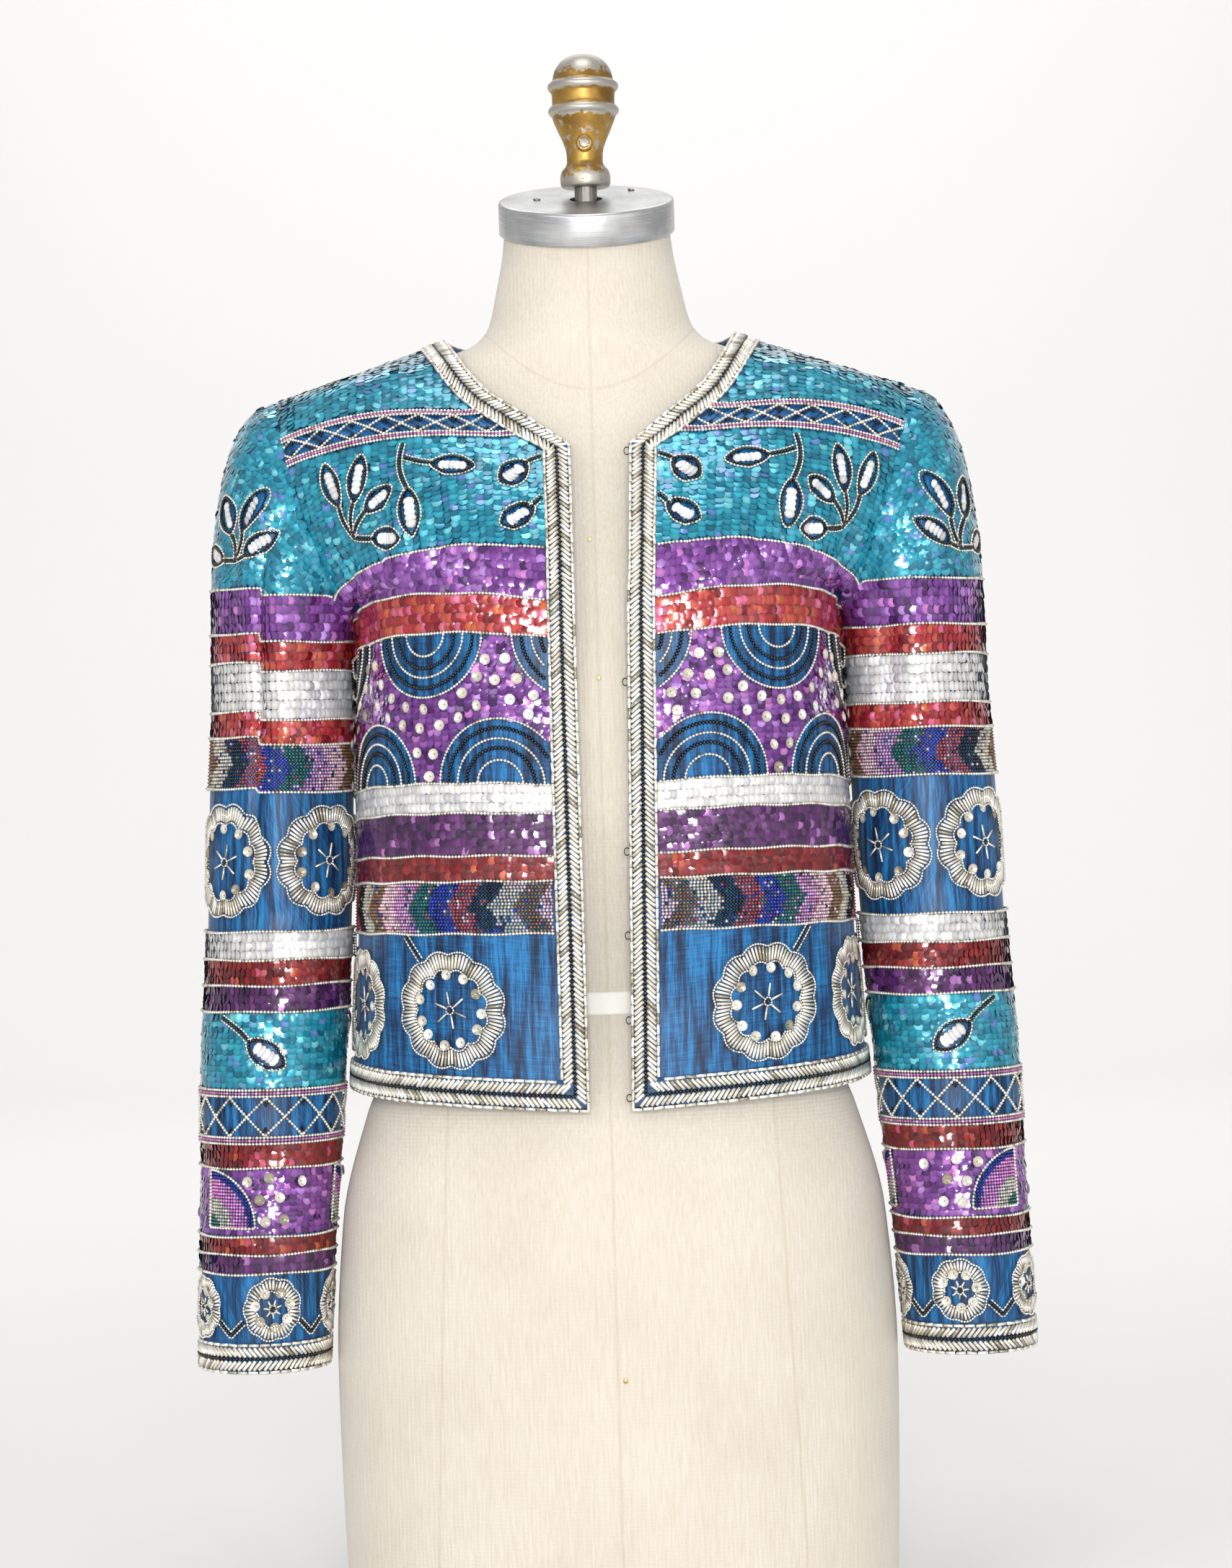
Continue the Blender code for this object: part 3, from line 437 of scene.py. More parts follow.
CAP_MIDDLE = (0, 0, 0.8620)
CAP = table(
    "radius z",
    (0.0100, 0), (0.0300, 0), (0.0510, 0), (0.0523, -0.0002), (0.0533, -0.0008), (0.0538, -0.0020),
    (0.0538, -0.0100), (0.0538, -0.0197), (0.0536, -0.0200), (0.0520, -0.0200), (0.0520, -0.0018),
    (0.0100, -0.0018), (0.0100, 0),
)
lathe(
    "neck_cap_spun", CAP["radius"], CAP["z"],
    128, CAP_TILT, CAP_MIDDLE, aluminium, "aluminium", "neck_cap",
)
FINIAL = table(
    "z radius",
    (0.8690, 0.0142), (0.8712, 0.0152), (0.8745, 0.0154), (0.8775, 0.0150), (0.8798, 0.0138),
    (0.8815, 0.0122), (0.8845, 0.0110), (0.8900, 0.0112), (0.8965, 0.0130), (0.9040, 0.0163),
    (0.9105, 0.0189), (0.9128, 0.0197), (0.9142, 0.0212), (0.9158, 0.0217), (0.9174, 0.0212),
    (0.9188, 0.0197), (0.9205, 0.0191), (0.9262, 0.0193), (0.9276, 0.0199), (0.9290, 0.0213),
    (0.9306, 0.0217), (0.9322, 0.0213), (0.9335, 0.0197), (0.9345, 0.0187), (0.9380, 0.0180),
    (0.9410, 0.0169), (0.9440, 0.0150), (0.9465, 0.0126), (0.9485, 0.0094), (0.9498, 0.0056),
    (0.9505, 0.0),
)
finial_levels = np.concatenate([np.arange(0.8690, 0.9480, 0.0008), np.linspace(0.9480, 0.9505, 12)])
lathe(
    "finial_turned",
    np.concatenate([[0.0, 0.0136], value(FINIAL, "radius", finial_levels)]),
    np.concatenate([[0.8690, 0.8690], np.maximum(finial_levels, 0.8692)]),
    72, 0, (0, 0, 0), gilt, "worn_gilt", "finial",
)
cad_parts["finial_post"].data.materials.clear()
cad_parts["finial_post"].data.materials.append(steel)


def rounded_disc(name, radius, depth, place, turn, slot_cut=0.0):
    """A screw head or pin head: a short cylinder with a bevelled rim, turned to face a way."""
    bpy.ops.mesh.primitive_cylinder_add(vertices=24, radius=radius, depth=depth)
    made = bpy.context.object
    made.name = name
    made.data.name = name
    edge = made.modifiers.new("rim", "BEVEL")
    edge.width = min(radius, depth) * 0.3
    edge.segments = 3
    edge.limit_method = "ANGLE"
    bpy.ops.object.modifier_apply(modifier="rim")
    if slot_cut:
        bpy.ops.mesh.primitive_cube_add(size=1)
        cutter = bpy.context.object
        slot_size = (radius * 2.4, radius * 0.28, slot_cut * 2)
        cutter.data.transform(Matrix.LocRotScale((0, 0, depth / 2), None, slot_size))
        cut = made.modifiers.new("slot", "BOOLEAN")
        cut.object = cutter
        cut.solver = "EXACT"
        take(made)
        bpy.ops.object.modifier_apply(modifier="slot")
        bpy.data.objects.remove(cutter, do_unlink=True)
    made.data.transform(Matrix.LocRotScale(place, Euler(turn), None))
    bpy.ops.object.shade_smooth_by_angle(angle=0.7)
    return made


def place_small(made, finish):
    """A small fitting's finish and ride."""
    made.data.materials.clear()
    made.data.materials.append(finish)
    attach(made, "root")


# The finial's set screw stands on a boss at the front, and two screws hold the cap down.
FORWARD = math.pi / 2
boss = rounded_disc("finial_boss", 0.0052, 0.0060, (0, -0.0135, 0.8940), (FORWARD, 0, 0))
place_small(boss, gilt)
set_screw = rounded_disc(
    "finial_set_screw", 0.0033, 0.0022, (0, -0.0170, 0.8940), (FORWARD, 0.6, 0), 0.0009
)
place_small(set_screw, steel)
for side, x, y, turn in (("left", 0.0280, 0.0280, 0.7), ("right", -0.0300, 0.0010, 0.1)):
    spot = Matrix.Rotation(CAP_TILT, 3, "X") @ Vector((x, y, 0.0004)) + Vector(CAP_MIDDLE)
    cap_screw = rounded_disc("cap_screw_" + side, 0.0022, 0.0010, spot, (CAP_TILT, 0, turn), 0.0006)
    place_small(cap_screw, steel)

# Brass pins mark the form's centre front and hold the tape: 2.6 mm heads on the linen, small and
# bright yellow.
brass, tree, surface = new_finish("brass_pin", Metallic=1.0, Roughness=0.3)
surface.inputs["Base Color"].default_value = colour("B79A5B")
pins = ((-0.004, 0.6480), (0.001, 0.5660), (0.003, 0.1560), (0.011, 0.3795), (0.011, 0.3705))
for number, (x, z) in enumerate(pins):
    ring = form_ring(z, 360, 0.0004)
    front_half = ring[ring[:, 1] < 0]
    pin_spot = front_half[np.argmin(np.abs(front_half[:, 0] - x))]
    pin = rounded_disc(f"brass_pin_{number}", 0.0013, 0.0009, pin_spot, (FORWARD, 0, 0))
    place_small(pin, brass)

# The jacket's cloth: slubbed shot silk, cut as two fronts, a back and two sleeves, sewn at the
# shoulders, sides and armholes. A row runs from the front edge to the side seam or armhole: row 0 is
# the hem, row 1 meets the underarm and row 2 is the shoulder seam.
FRONT = table(
    # Heights at a row's two ends, its sag and dip between them, where it ends, and how far it curls.
    "row z_in z_out bow kink y_in x_out y_out turn",
    (0.000, 0.3125, 0.3250, 0.000, 0.0000, -0.1080, 0.1570, 0.0040, 90),
    (0.200, 0.3700, 0.3765, 0.001, 0.0000, -0.1080, 0.1535, 0.0040, 90),
    (0.350, 0.4190, 0.4190, 0.001, 0.0000, -0.1115, 0.1512, 0.0040, 90),
    (0.600, 0.5030, 0.4990, 0.005, 0.0000, -0.1210, 0.1490, 0.0040, 90),
    (0.800, 0.5660, 0.5560, 0.010, 0.0000, -0.1270, 0.1482, 0.0040, 90),
    (1.000, 0.6120, 0.6040, 0.013, 0.0000, -0.1250, 0.1485, 0.0040, 90),
    (1.170, 0.6240, 0.6070, 0.015, 0.0000, -0.1220, 0.1515, -0.0260, 84),
    (1.330, 0.6430, 0.6250, 0.015, 0.0000, -0.1160, 0.1580, -0.0460, 72),
    (1.500, 0.6700, 0.6550, 0.012, 0.0000, -0.1050, 0.1680, -0.0560, 60),
    (1.667, 0.7050, 0.6880, 0.008, 0.0050, -0.0860, 0.1790, -0.0515, 50),
    (1.750, 0.7245, 0.7060, 0.006, 0.0100, -0.0760, 0.1838, -0.0435, 45),
    (1.833, 0.7420, 0.7220, 0.005, 0.0090, -0.0600, 0.1878, -0.0330, 40),
    (1.917, 0.7630, 0.7355, 0.004, 0.0050, -0.0400, 0.1907, -0.0165, 30),
    (2.000, 0.7770, 0.7420, 0.000, 0.0000, 0.0040, 0.1930, 0.0040, 1),
)
NECKLINE = table(
    "row x", (1.667, 0.0215), (1.750, 0.0450), (1.833, 0.0655), (1.917, 0.0800), (2.000, 0.0877),
)
# The row of the front's corner at the neck, and the neckline's half width, depth behind and heights.
CORNER_ROW = 1.667
NECK_HALF, NECK_BEHIND, NECK_Y = 0.0877, 0.0580, 0.0040
NECK_SIDE_Z, NECK_BACK_Z, NECK_DIP = 0.7770, 0.7700, 0.0070
BACK = table(
    "row z_in z_out bow kink y_in x_out y_out turn",
    (0.000, 0.3150, 0.3250, 0.000, 0.0000, 0.1120, 0.1570, 0.0040, 90),
    (0.200, 0.3725, 0.3765, 0.000, 0.0000, 0.1040, 0.1535, 0.0040, 90),
    (0.350, 0.4180, 0.4190, 0.000, 0.0000, 0.1000, 0.1512, 0.0040, 90),
    (0.600, 0.5000, 0.4990, 0.001, 0.0000, 0.1030, 0.1490, 0.0040, 90),
    (0.800, 0.5620, 0.5560, 0.002, 0.0000, 0.1080, 0.1482, 0.0040, 90),
    (1.000, 0.6130, 0.6040, 0.004, 0.0000, 0.1130, 0.1485, 0.0040, 90),
    (1.170, 0.6300, 0.6090, 0.005, 0.0000, 0.1145, 0.1515, 0.0340, 84),
    (1.330, 0.6520, 0.6320, 0.006, 0.0000, 0.1150, 0.1570, 0.0540, 72),
    (1.500, 0.6800, 0.6620, 0.009, 0.0000, 0.1120, 0.1650, 0.0610, 62),
    (1.667, 0.7080, 0.6950, 0.014, 0.0000, 0.1060, 0.1750, 0.0560, 55),
    (1.750, 0.7230, 0.7100, 0.017, 0.0000, 0.1010, 0.1810, 0.0470, 52),
    (1.833, 0.7380, 0.7240, 0.020, 0.0000, 0.0940, 0.1860, 0.0360, 50),
    (1.917, 0.7540, 0.7360, 0.020, 0.0000, 0.0830, 0.1900, 0.0190, 50),
    (2.000, 0.7700, 0.7420, 0.016, 0.0000, 0.0620, 0.1930, 0.0040, 55),
)
SLEEVE = table(
    "z x_in x_out y half_depth",
    (0.157, 0.1768, 0.2532, -0.0100, 0.0415),
    (0.222, 0.1722, 0.2516, -0.0080, 0.0430),
    (0.270, 0.1680, 0.2498, -0.0055, 0.0450),
    (0.340, 0.1622, 0.2482, -0.0020, 0.0465),
    (0.410, 0.1565, 0.2437, 0.0015, 0.0480),
    (0.500, 0.1525, 0.2402, 0.0035, 0.0505),
    (0.560, 0.1512, 0.2358, 0.0045, 0.0520),
)
# How the sleeve head leaves the armhole, from the underarm (0) over front or back to the shoulder (1).
SLEEVE_HEAD = table(
    "place out forward down reach landing",
    (0.00, 0.22, 0.00, 0.97, 0.010, 0.014),
    (0.25, 0.45, 0.25, 0.86, 0.016, 0.024),
    (0.50, 0.78, 0.30, 0.50, 0.032, 0.050),
    (0.75, 0.90, 0.20, 0.32, 0.038, 0.075),
    (1.00, 0.98, 0.00, 0.16, 0.038, 0.095),
)
# Folds: how far round a row, at which row, their spreads and depth. A negative depth is a ridge.
FRONT_FOLDS = table(
    "across across_spread row row_spread depth",
    (0.84, 0.055, 1.15, 0.34, 0.0055),
    (0.70, 0.050, 0.92, 0.22, 0.0020),
    (0.80, 0.070, 0.20, 0.16, 0.0025),
    (0.62, 0.030, 0.18, 0.12, -0.0012),
    (0.45, 0.040, 0.24, 0.07, 0.0010),
    (0.20, 0.016, 1.38, 0.20, 0.0018),
    (0.31, 0.014, 1.30, 0.16, 0.0022),
    (0.44, 0.016, 1.36, 0.22, 0.0020),
    (0.55, 0.014, 1.28, 0.16, 0.0019),
    (0.66, 0.015, 1.34, 0.20, 0.0024),
)
BACK_FOLDS = table(
    "across across_spread row row_spread depth",
    (0.80, 0.060, 1.20, 0.36, 0.0050),
    (0.55, 0.060, 0.55, 0.30, 0.0030),
    (0.30, 0.050, 0.15, 0.20, 0.0025),
    (0.42, 0.030, 0.25, 0.10, -0.0012),
    (0.25, 0.016, 1.36, 0.20, 0.0012),
    (0.47, 0.016, 1.30, 0.22, 0.0014),
    (0.68, 0.016, 1.38, 0.18, 0.0013),
)
# Sleeve folds: degrees from the outer line towards the front, height, their spreads and depth.
SLEEVE_FOLDS = {
    "left": table(
        "angle angle_spread height height_spread depth",
        (118, 15, 0.585, 0.055, 0.0058),
        (84, 9, 0.650, 0.045, 0.0020),
        (52, 9, 0.665, 0.040, 0.0016),
        (255, 15, 0.590, 0.060, 0.0050),
        (150, 28, 0.405, 0.012, 0.0025),
        (215, 26, 0.375, 0.012, 0.0022),
        (60, 26, 0.440, 0.006, 0.0010),
        (95, 30, 0.418, 0.005, -0.0008),
    ),
    "right": table(
        "angle angle_spread height height_spread depth",
        (74, 6, 0.580, 0.120, 0.0065),
        (52, 20, 0.580, 0.120, 0.0040),
        (90, 10, 0.580, 0.110, -0.0018),
        (40, 10, 0.665, 0.040, 0.0020),
        (98, 9, 0.655, 0.045, 0.0022),
        (122, 14, 0.600, 0.045, 0.0040),
        (250, 15, 0.590, 0.060, 0.0050),
        (160, 28, 0.395, 0.012, 0.0025),
        (215, 26, 0.365, 0.012, 0.0022),
        (80, 24, 0.432, 0.006, 0.0010),
    ),
}
ROWS = np.linspace(0, 2, 161)
SHARES = np.linspace(0, 1, 97)


def walked(points, axis=0):
    """How far along its line each point is, in metres from the first."""
    steps = np.linalg.norm(np.diff(points, axis=axis), axis=-1)
    return np.cumsum(np.insert(steps, 0, 0, axis=axis), axis=axis)


def unit(vectors):
    """The same directions, each one metre long."""
    return vectors / np.maximum(np.linalg.norm(vectors, axis=-1, keepdims=True), 1e-9)


def outward(points, around=False):
    """The directions square to a grid of points, from the lines that cross at each one."""
    if around:
        across = np.roll(points, -1, axis=1) - np.roll(points, 1, axis=1)
    else:
        across = np.gradient(points, axis=1)
    return unit(np.cross(across, np.gradient(points, axis=0)))


def panel_row(rows, row, start_x, shares):
    """Points along one row of a panel, at shares of the length between its two ends."""
    at = {column: float(value(rows, column, row)) for column in rows}
    s = np.linspace(0, 1, 161)
    turn = math.radians(max(at["turn"], 1.0))
    progress = (np.sin(s * turn) / math.sin(turn)) ** 0.87
    rounding = 1 - ((np.cos(s * turn) - math.cos(turn)) / (1 - math.cos(turn))) ** 0.87
    x = start_x + (at["x_out"] - start_x) * progress
    y = at["y_in"] + (at["y_out"] - at["y_in"]) * rounding
    run = np.concatenate([[0], np.cumsum(np.hypot(np.diff(x), np.diff(y)))])
    run /= run[-1]
    dip = at["kink"] * (run / 0.2) * np.exp(1 - run / 0.2) * (1 - run)
    z = at["z_in"] + (at["z_out"] - at["z_in"]) * run + at["bow"] * 4 * run * (1 - run) - dip
    line = np.stack([x, y, z], axis=1)
    length = walked(line)
    return np.stack([np.interp(shares * length[-1], length, line[:, k]) for k in range(3)], 1)


def folded(points, normals, folds):
    """A panel's points pressed in along soft folds."""
    across, up = np.meshgrid(SHARES, ROWS)
    depth = np.zeros(across.shape)
    for share, share_spread, row, row_spread, press in zip(*folds.values()):
        spot = ((across - share) / share_spread) ** 2 + ((up - row) / row_spread) ** 2
        depth += press * np.exp(-spot)
    return points - normals * (depth * np.clip((1 - across) / 0.08, 0, 1))[..., None]


def front_grid(hem_x, corner_x):
    """A front at +X. Its rows start on the front edge and, past the corner, on the neckline."""
    starts = hem_x + (corner_x - hem_x) * ROWS / CORNER_ROW
    neck_x = value(NECKLINE, "x", ROWS)
    share = (neck_x - NECKLINE["x"][0]) / (NECK_HALF - NECKLINE["x"][0])
    starts = np.where(ROWS > CORNER_ROW, corner_x + (NECK_HALF - corner_x) * share, starts)
    grid = np.array([panel_row(FRONT, row, x, SHARES) for row, x in zip(ROWS, starts)])
    grid = folded(grid, outward(grid), FRONT_FOLDS)
    return grid, outward(grid), starts


def back_grid():
    """The back from its centre line to +X, with the neckline curved into its top edge."""
    angle = np.clip(SHARES / 0.51, 0, 1) * math.pi / 2
    along = np.clip((SHARES - 0.51) / 0.49, 0, 1)
    top = np.stack([
        NECK_HALF * np.sin(angle) + (BACK["x_out"][-1] - NECK_HALF) * along,
        NECK_Y + NECK_BEHIND * np.cos(angle),
        NECK_BACK_Z + NECK_DIP * (1 - np.cos(angle)) + (BACK["z_out"][-1] - NECK_SIDE_Z) * along,
    ], axis=1)
    change = top - panel_row(BACK, 2.0, 0, SHARES)
    blend = np.clip((ROWS - CORNER_ROW) / 0.333, 0, 1) ** 2
    grid = np.array([panel_row(BACK, row, 0, SHARES) + change * b for row, b in zip(ROWS, blend)])
    grid = folded(grid, -outward(grid), BACK_FOLDS)
    return grid, -outward(grid)


def sleeve_grid(side, front, back):
    """A sleeve's points at +X, ring by ring from the armhole to the cuff."""
    low = ROWS >= 1
    loop = np.concatenate([front[low, -1][::-1], back[low, -1][1:-1]])
    count = 96
    loop_share = np.linspace(0, 1, len(loop) + 1)
    closed = np.concatenate([loop, loop[:1]])
    turn_share = np.arange(count) / count
    loop = np.stack([np.interp(turn_share, loop_share, closed[:, k]) for k in range(3)], 1)
    turns = turn_share * 2 * math.pi
    place = np.abs(1 - turn_share * 2)
    leave = unit(np.stack([
        value(SLEEVE_HEAD, "out", place),
        value(SLEEVE_HEAD, "forward", place) * np.where(turn_share < 0.5, -1, 1),
        -value(SLEEVE_HEAD, "down", place),
    ], axis=1))
    reach = value(SLEEVE_HEAD, "reach", place)[:, None]
    landing = value(SLEEVE_HEAD, "landing", place)[:, None]

    def section(z):
        near, far = value(SLEEVE, "x_in", z), value(SLEEVE, "x_out", z)
        x = (near + far) / 2 + (far - near) / 2 * np.cos(turns)
        y = value(SLEEVE, "y", z) - value(SLEEVE, "half_depth", z) * np.sin(turns)
        return np.stack([x, y, np.full(count, z)], axis=1)

    start, arm = loop + leave * 0.0004, section(0.560)
    rings = []
    for t in np.arange(56) / 56:
        ring = start * (1 - t) ** 3 + (start + leave * reach) * 3 * t * (1 - t) ** 2
        rings.append(ring + (arm + (0, 0, 1) * landing) * 3 * t**2 * (1 - t) + arm * t**3)
    rings += [section(z) for z in np.linspace(0.560, 0.157, 150)]
    grid = np.array(rings)
    normals = outward(grid, around=True)
    depth = np.zeros(grid.shape[:2])
    for angle, angle_spread, height, height_spread, press in zip(*SLEEVE_FOLDS[side].values()):
        away = (np.degrees(turns) - angle + 180) % 360 - 180
        spot = (away / angle_spread) ** 2 + ((grid[..., 2] - height) / height_spread) ** 2
        depth += press * np.exp(-spot)
    depth[0] = 0
    grid = grid - normals * depth[..., None]
    return grid, outward(grid, around=True)


# Shot silk has one dark and one bright thread, so it shimmers between two blues.
silk, tree, surface = new_finish(
    "shot_silk_dupion", Roughness=0.42, Sheen_Weight=0.15, Sheen_Roughness=0.35
)
surface.inputs["Specular IOR Level"].default_value = 0.40
surface.inputs["Anisotropic"].default_value = 0.5
spot = add_node(tree, "TexCoord")
# Slubs run down the cloth: 2 to 4 mm wide streaks 60 mm long, with finer ones 0.7 mm wide over them.
broad = add_node(tree, "Mapping", {"Vector": spot.outputs["UV"], "Scale": (240, 16, 1)})
broad = {"Vector": broad.outputs[0], "Scale": 1.0, "Detail": 2.0, "Distortion": 0.5}
broad = add_node(tree, "TexNoise", broad)
fine = add_node(tree, "Mapping", {"Vector": spot.outputs["UV"], "Scale": (1400, 70, 1)})
fine = add_node(tree, "TexNoise", {"Vector": fine.outputs[0], "Scale": 1.0, "Detail": 2.0})
cross = add_node(tree, "Mapping", {"Vector": spot.outputs["UV"], "Scale": (60, 900, 1)})
cross = add_node(tree, "TexNoise", {"Vector": cross.outputs[0], "Scale": 1.0, "Detail": 2.0})
mixed = add_node(tree, "Math", {0: broad.outputs["Fac"], 1: 0.50}, operation="MULTIPLY")
for slub, share in ((fine, 0.32), (cross, 0.18)):
    summed = {0: slub.outputs["Fac"], 1: share, 2: mixed.outputs[0]}
    mixed = add_node(tree, "Math", summed, operation="MULTIPLY_ADD")
silk_tone = add_node(tree, "ValToRGB", {"Fac": mixed.outputs[0]})
for stop, position, code in zip(silk_tone.color_ramp.elements, (0.41, 0.60), ("061C3C", "1F79B4")):
    stop.position = position
    stop.color = colour(code)
silk_tone.color_ramp.elements.new(0.5).color = colour("0D4B7C")
tree.links.new(silk_tone.outputs["Color"], surface.inputs["Base Color"])
silk_bump = add_node(tree, "Bump", {"Height": mixed.outputs[0], "Strength": 0.3, "Distance": 0.0006})
tree.links.new(silk_bump.outputs[0], surface.inputs["Normal"])

# The fronts part a little more on the left, at the neck's corner, than on the right.
LEFT_CORNER, RIGHT_CORNER = 0.0215, 0.0128
left_grid, left_normals, left_starts = front_grid(0.0123, LEFT_CORNER)
right_grid, right_normals, right_starts = front_grid(0.0120, RIGHT_CORNER)
half_grid, half_normals = back_grid()
MIRROR = np.array([-1, 1, 1])
whole_back = np.concatenate([half_grid[:, :0:-1] * MIRROR, half_grid], axis=1)
whole_normals = np.concatenate([half_normals[:, :0:-1] * MIRROR, half_normals], axis=1)
sleeves = {side: sleeve_grid(side, left_grid, half_grid) for side in ("left", "right")}
FRONTS = (("left", left_grid, left_normals, 1), ("right", right_grid, right_normals, MIRROR))
SIDES = (("left", 1), ("right", MIRROR))
SILK_WALL = 0.0012


def cloth(name, grid, normals, stands_for, node_slot, around=False):
    """A panel of silk as a thin shell on its solid's form."""
    uv = np.stack([walked(grid, 1), walked(grid)], -1)
    mesh = shell(name, grid, grid - normals * SILK_WALL, uv, around)
    piece = show(name, mesh, silk, node_slot, stands_for)
    return piece


for side, grid, normals, flip in FRONTS:
    # Each front is 0.2 mm clear of the back at the side and shoulder seams.
    moved = grid.copy()
    moved[ROWS <= 1, -1, 1] -= 0.0002
    moved[-1, :, 1] -= 0.0002
    cloth(
        f"silk_front_{side}", moved * flip, normals * flip,
        f"front_{side}", "sequinned_silk_front",
    )
# Every second column is enough for the back, which is less curved than the sleeves.
cloth(
    "silk_back", whole_back[:, ::2], whole_normals[:, ::2],
    "back", "sequinned_silk_back",
)
for side, flip in SIDES:
    grid, normals = sleeves[side]
    cloth(
        f"silk_sleeve_{side}", grid * flip, normals * flip,
        f"sleeve_{side}", "sequinned_silk_sleeve", True,
    )

# Places on the cloth. On a front or half the back, s is metres from the front edge or the centre line
# and h is the height of the row at mid front. On a sleeve, s goes round from its outer line, towards
# the front first, and h is the height.
HEIGHTS = (value(FRONT, "z_in", ROWS) + value(FRONT, "z_out", ROWS)) / 2 + value(FRONT, "bow", ROWS)
ROW_NUMBERS = np.arange(len(ROWS), dtype=float)
SLEEVE_RADIUS = 0.0440
SLEEVE_ROUND = 2 * math.pi * SLEEVE_RADIUS


def lengths(grid):
    """The length of each row of a grid."""
    return np.linalg.norm(np.diff(grid, axis=1), axis=2).sum(axis=1)


def sleeve_places(grid, normals):
    """A sleeve's grid at even heights, finer over the shoulder where it lies flat, and its top edge."""
    levels = np.concatenate([np.arange(0.157, 0.700, 0.0012), np.arange(0.700, 0.7437, 0.0003)])
    both = [
        np.array([
            [np.interp(levels, grid[::-1, c, 2], points[::-1, c, k]) for k in range(3)]
            for c in range(grid.shape[1])
        ]).transpose(2, 0, 1)
        for points in (grid, normals)
    ]
    return *both, levels, grid[..., 2].max(axis=0)


PLACES = {}
for name, grid, normals, starts, flip in (
    ("front_left", left_grid, left_normals, np.maximum(left_starts - LEFT_CORNER, 0), 1),
    ("front_right", right_grid, right_normals, np.maximum(right_starts - RIGHT_CORNER, 0), MIRROR),
    ("back_left", half_grid, half_normals, ROWS * 0, 1),
    ("back_right", half_grid, half_normals, ROWS * 0, MIRROR),
):
    PLACES[name] = dict(
        grid=grid, normals=normals, starts=starts * (ROWS > CORNER_ROW), lengths=lengths(grid),
        levels=HEIGHTS, flip=flip, around=False, end=float(lengths(grid)[: len(ROWS) // 2].max()),
    )
for side, flip in SIDES:
    grid, normals, levels, tops = sleeve_places(*sleeves[side])
    PLACES["sleeve_" + side] = dict(
        grid=grid, normals=normals, levels=levels, tops=tops, flip=flip,
        around=True, end=SLEEVE_ROUND, pull=0.0058 if side == "right" else 0.0,
    )


def look_up(grid, i, j, around):
    """A grid's value between its points."""
    i0 = np.clip(np.floor(i).astype(int), 0, grid.shape[0] - 2)
    up = np.clip(i - i0, 0, 1)[..., None]
    if around:
        j0 = np.floor(j).astype(int) % grid.shape[1]
        along, j1 = (j - np.floor(j))[..., None], (j0 + 1) % grid.shape[1]
    else:
        j0 = np.clip(np.floor(j).astype(int), 0, grid.shape[1] - 2)
        along, j1 = np.clip(j - j0, 0, 1)[..., None], j0 + 1
    low = grid[i0, j0] * (1 - along) + grid[i0, j1] * along
    high = grid[i0 + 1, j0] * (1 - along) + grid[i0 + 1, j1] * along
    return low * (1 - up) + high * up


def skin_at(grid, normals, i, j, around=False, flip=1):
    """Points between a grid's own, and the directions out of the cloth there."""
    return look_up(grid, i, j, around) * flip, unit(look_up(normals, i, j, around) * flip)


def from_edge(panel, s, h):
    """How far s is past the front edge or the neckline."""
    return s - np.interp(np.interp(h, HEIGHTS, ROWS), ROWS, PLACES[panel]["starts"])


def on_cloth(panel, s, h):
    """The points at s and h, the directions out of the cloth, and which of them are on the panel."""
    p = PLACES[panel]
    if p["around"]:
        # The bands jump up by 6 mm at the right sleeve's crease, 57.5 mm round, and ease back from
        # 200 mm on. They do so most at the crease's middle, 0.58 m high.
        past = 1 / (1 + np.exp(np.clip((s % SLEEVE_ROUND - 0.0575) / 0.0009, -50, 50)))
        past = past + np.clip((s % SLEEVE_ROUND - 0.200) / (SLEEVE_ROUND - 0.200), 0, 1)
        h = h + p["pull"] * past * np.exp(-(((h - 0.580) / 0.085) ** 4))
    i = np.interp(h, p["levels"], np.arange(len(p["levels"])))
    inside = (h >= p["levels"][0]) & (h <= p["levels"][-1])
    if p["around"]:
        j = s / SLEEVE_ROUND * p["grid"].shape[1]
        tops = np.append(p["tops"], p["tops"][0])
        inside &= h <= np.interp(j % (len(tops) - 1), np.arange(len(tops)), tops)
    else:
        share = from_edge(panel, s, h) / np.interp(np.interp(h, HEIGHTS, ROWS), ROWS, p["lengths"])
        j = share * (len(SHARES) - 1)
        inside &= (share >= 0) & (share <= 1)
    return *skin_at(p["grid"], p["normals"], i, j, p["around"], p["flip"]), inside


def along(panel, s, h, pitch, ends=0.5):
    """s and h at even true distances along a line on the cloth."""
    run = walked(on_cloth(panel, s, h)[0])
    count = max(int(round(run[-1] / pitch)), 1)
    at = (np.arange(count) + ends) * run[-1] / count
    return np.interp(at, run, s), np.interp(at, run, h)


def seated(panel, s, h, ds, dh, lift):
    """Points lifted off the cloth, with their frames: across, along (ds, dh), and out."""
    point, out, inside = on_cloth(panel, s, h)
    after, before = (on_cloth(panel, s + ds * step, h + dh * step)[0] for step in (0.0008, -0.0008))
    ahead = after - before
    ahead = unit(ahead - out * (ahead * out).sum(-1, keepdims=True))
    axes = np.stack([np.cross(ahead, out), ahead, out], axis=1)
    return point + out * lift, axes, inside


def leaned(axes, pitch, roll):
    """Frames turned so that their far ends lift by pitch and their sides by roll, in radians."""
    across, ahead, out = axes[:, 0], axes[:, 1], axes[:, 2]
    c, s = np.cos(pitch)[:, None], np.sin(pitch)[:, None]
    ahead, out = ahead * c + out * s, out * c - ahead * s
    c, s = np.cos(roll)[:, None], np.sin(roll)[:, None]
    return np.stack([across * c + out * s, ahead, out * c - across * s], axis=1)


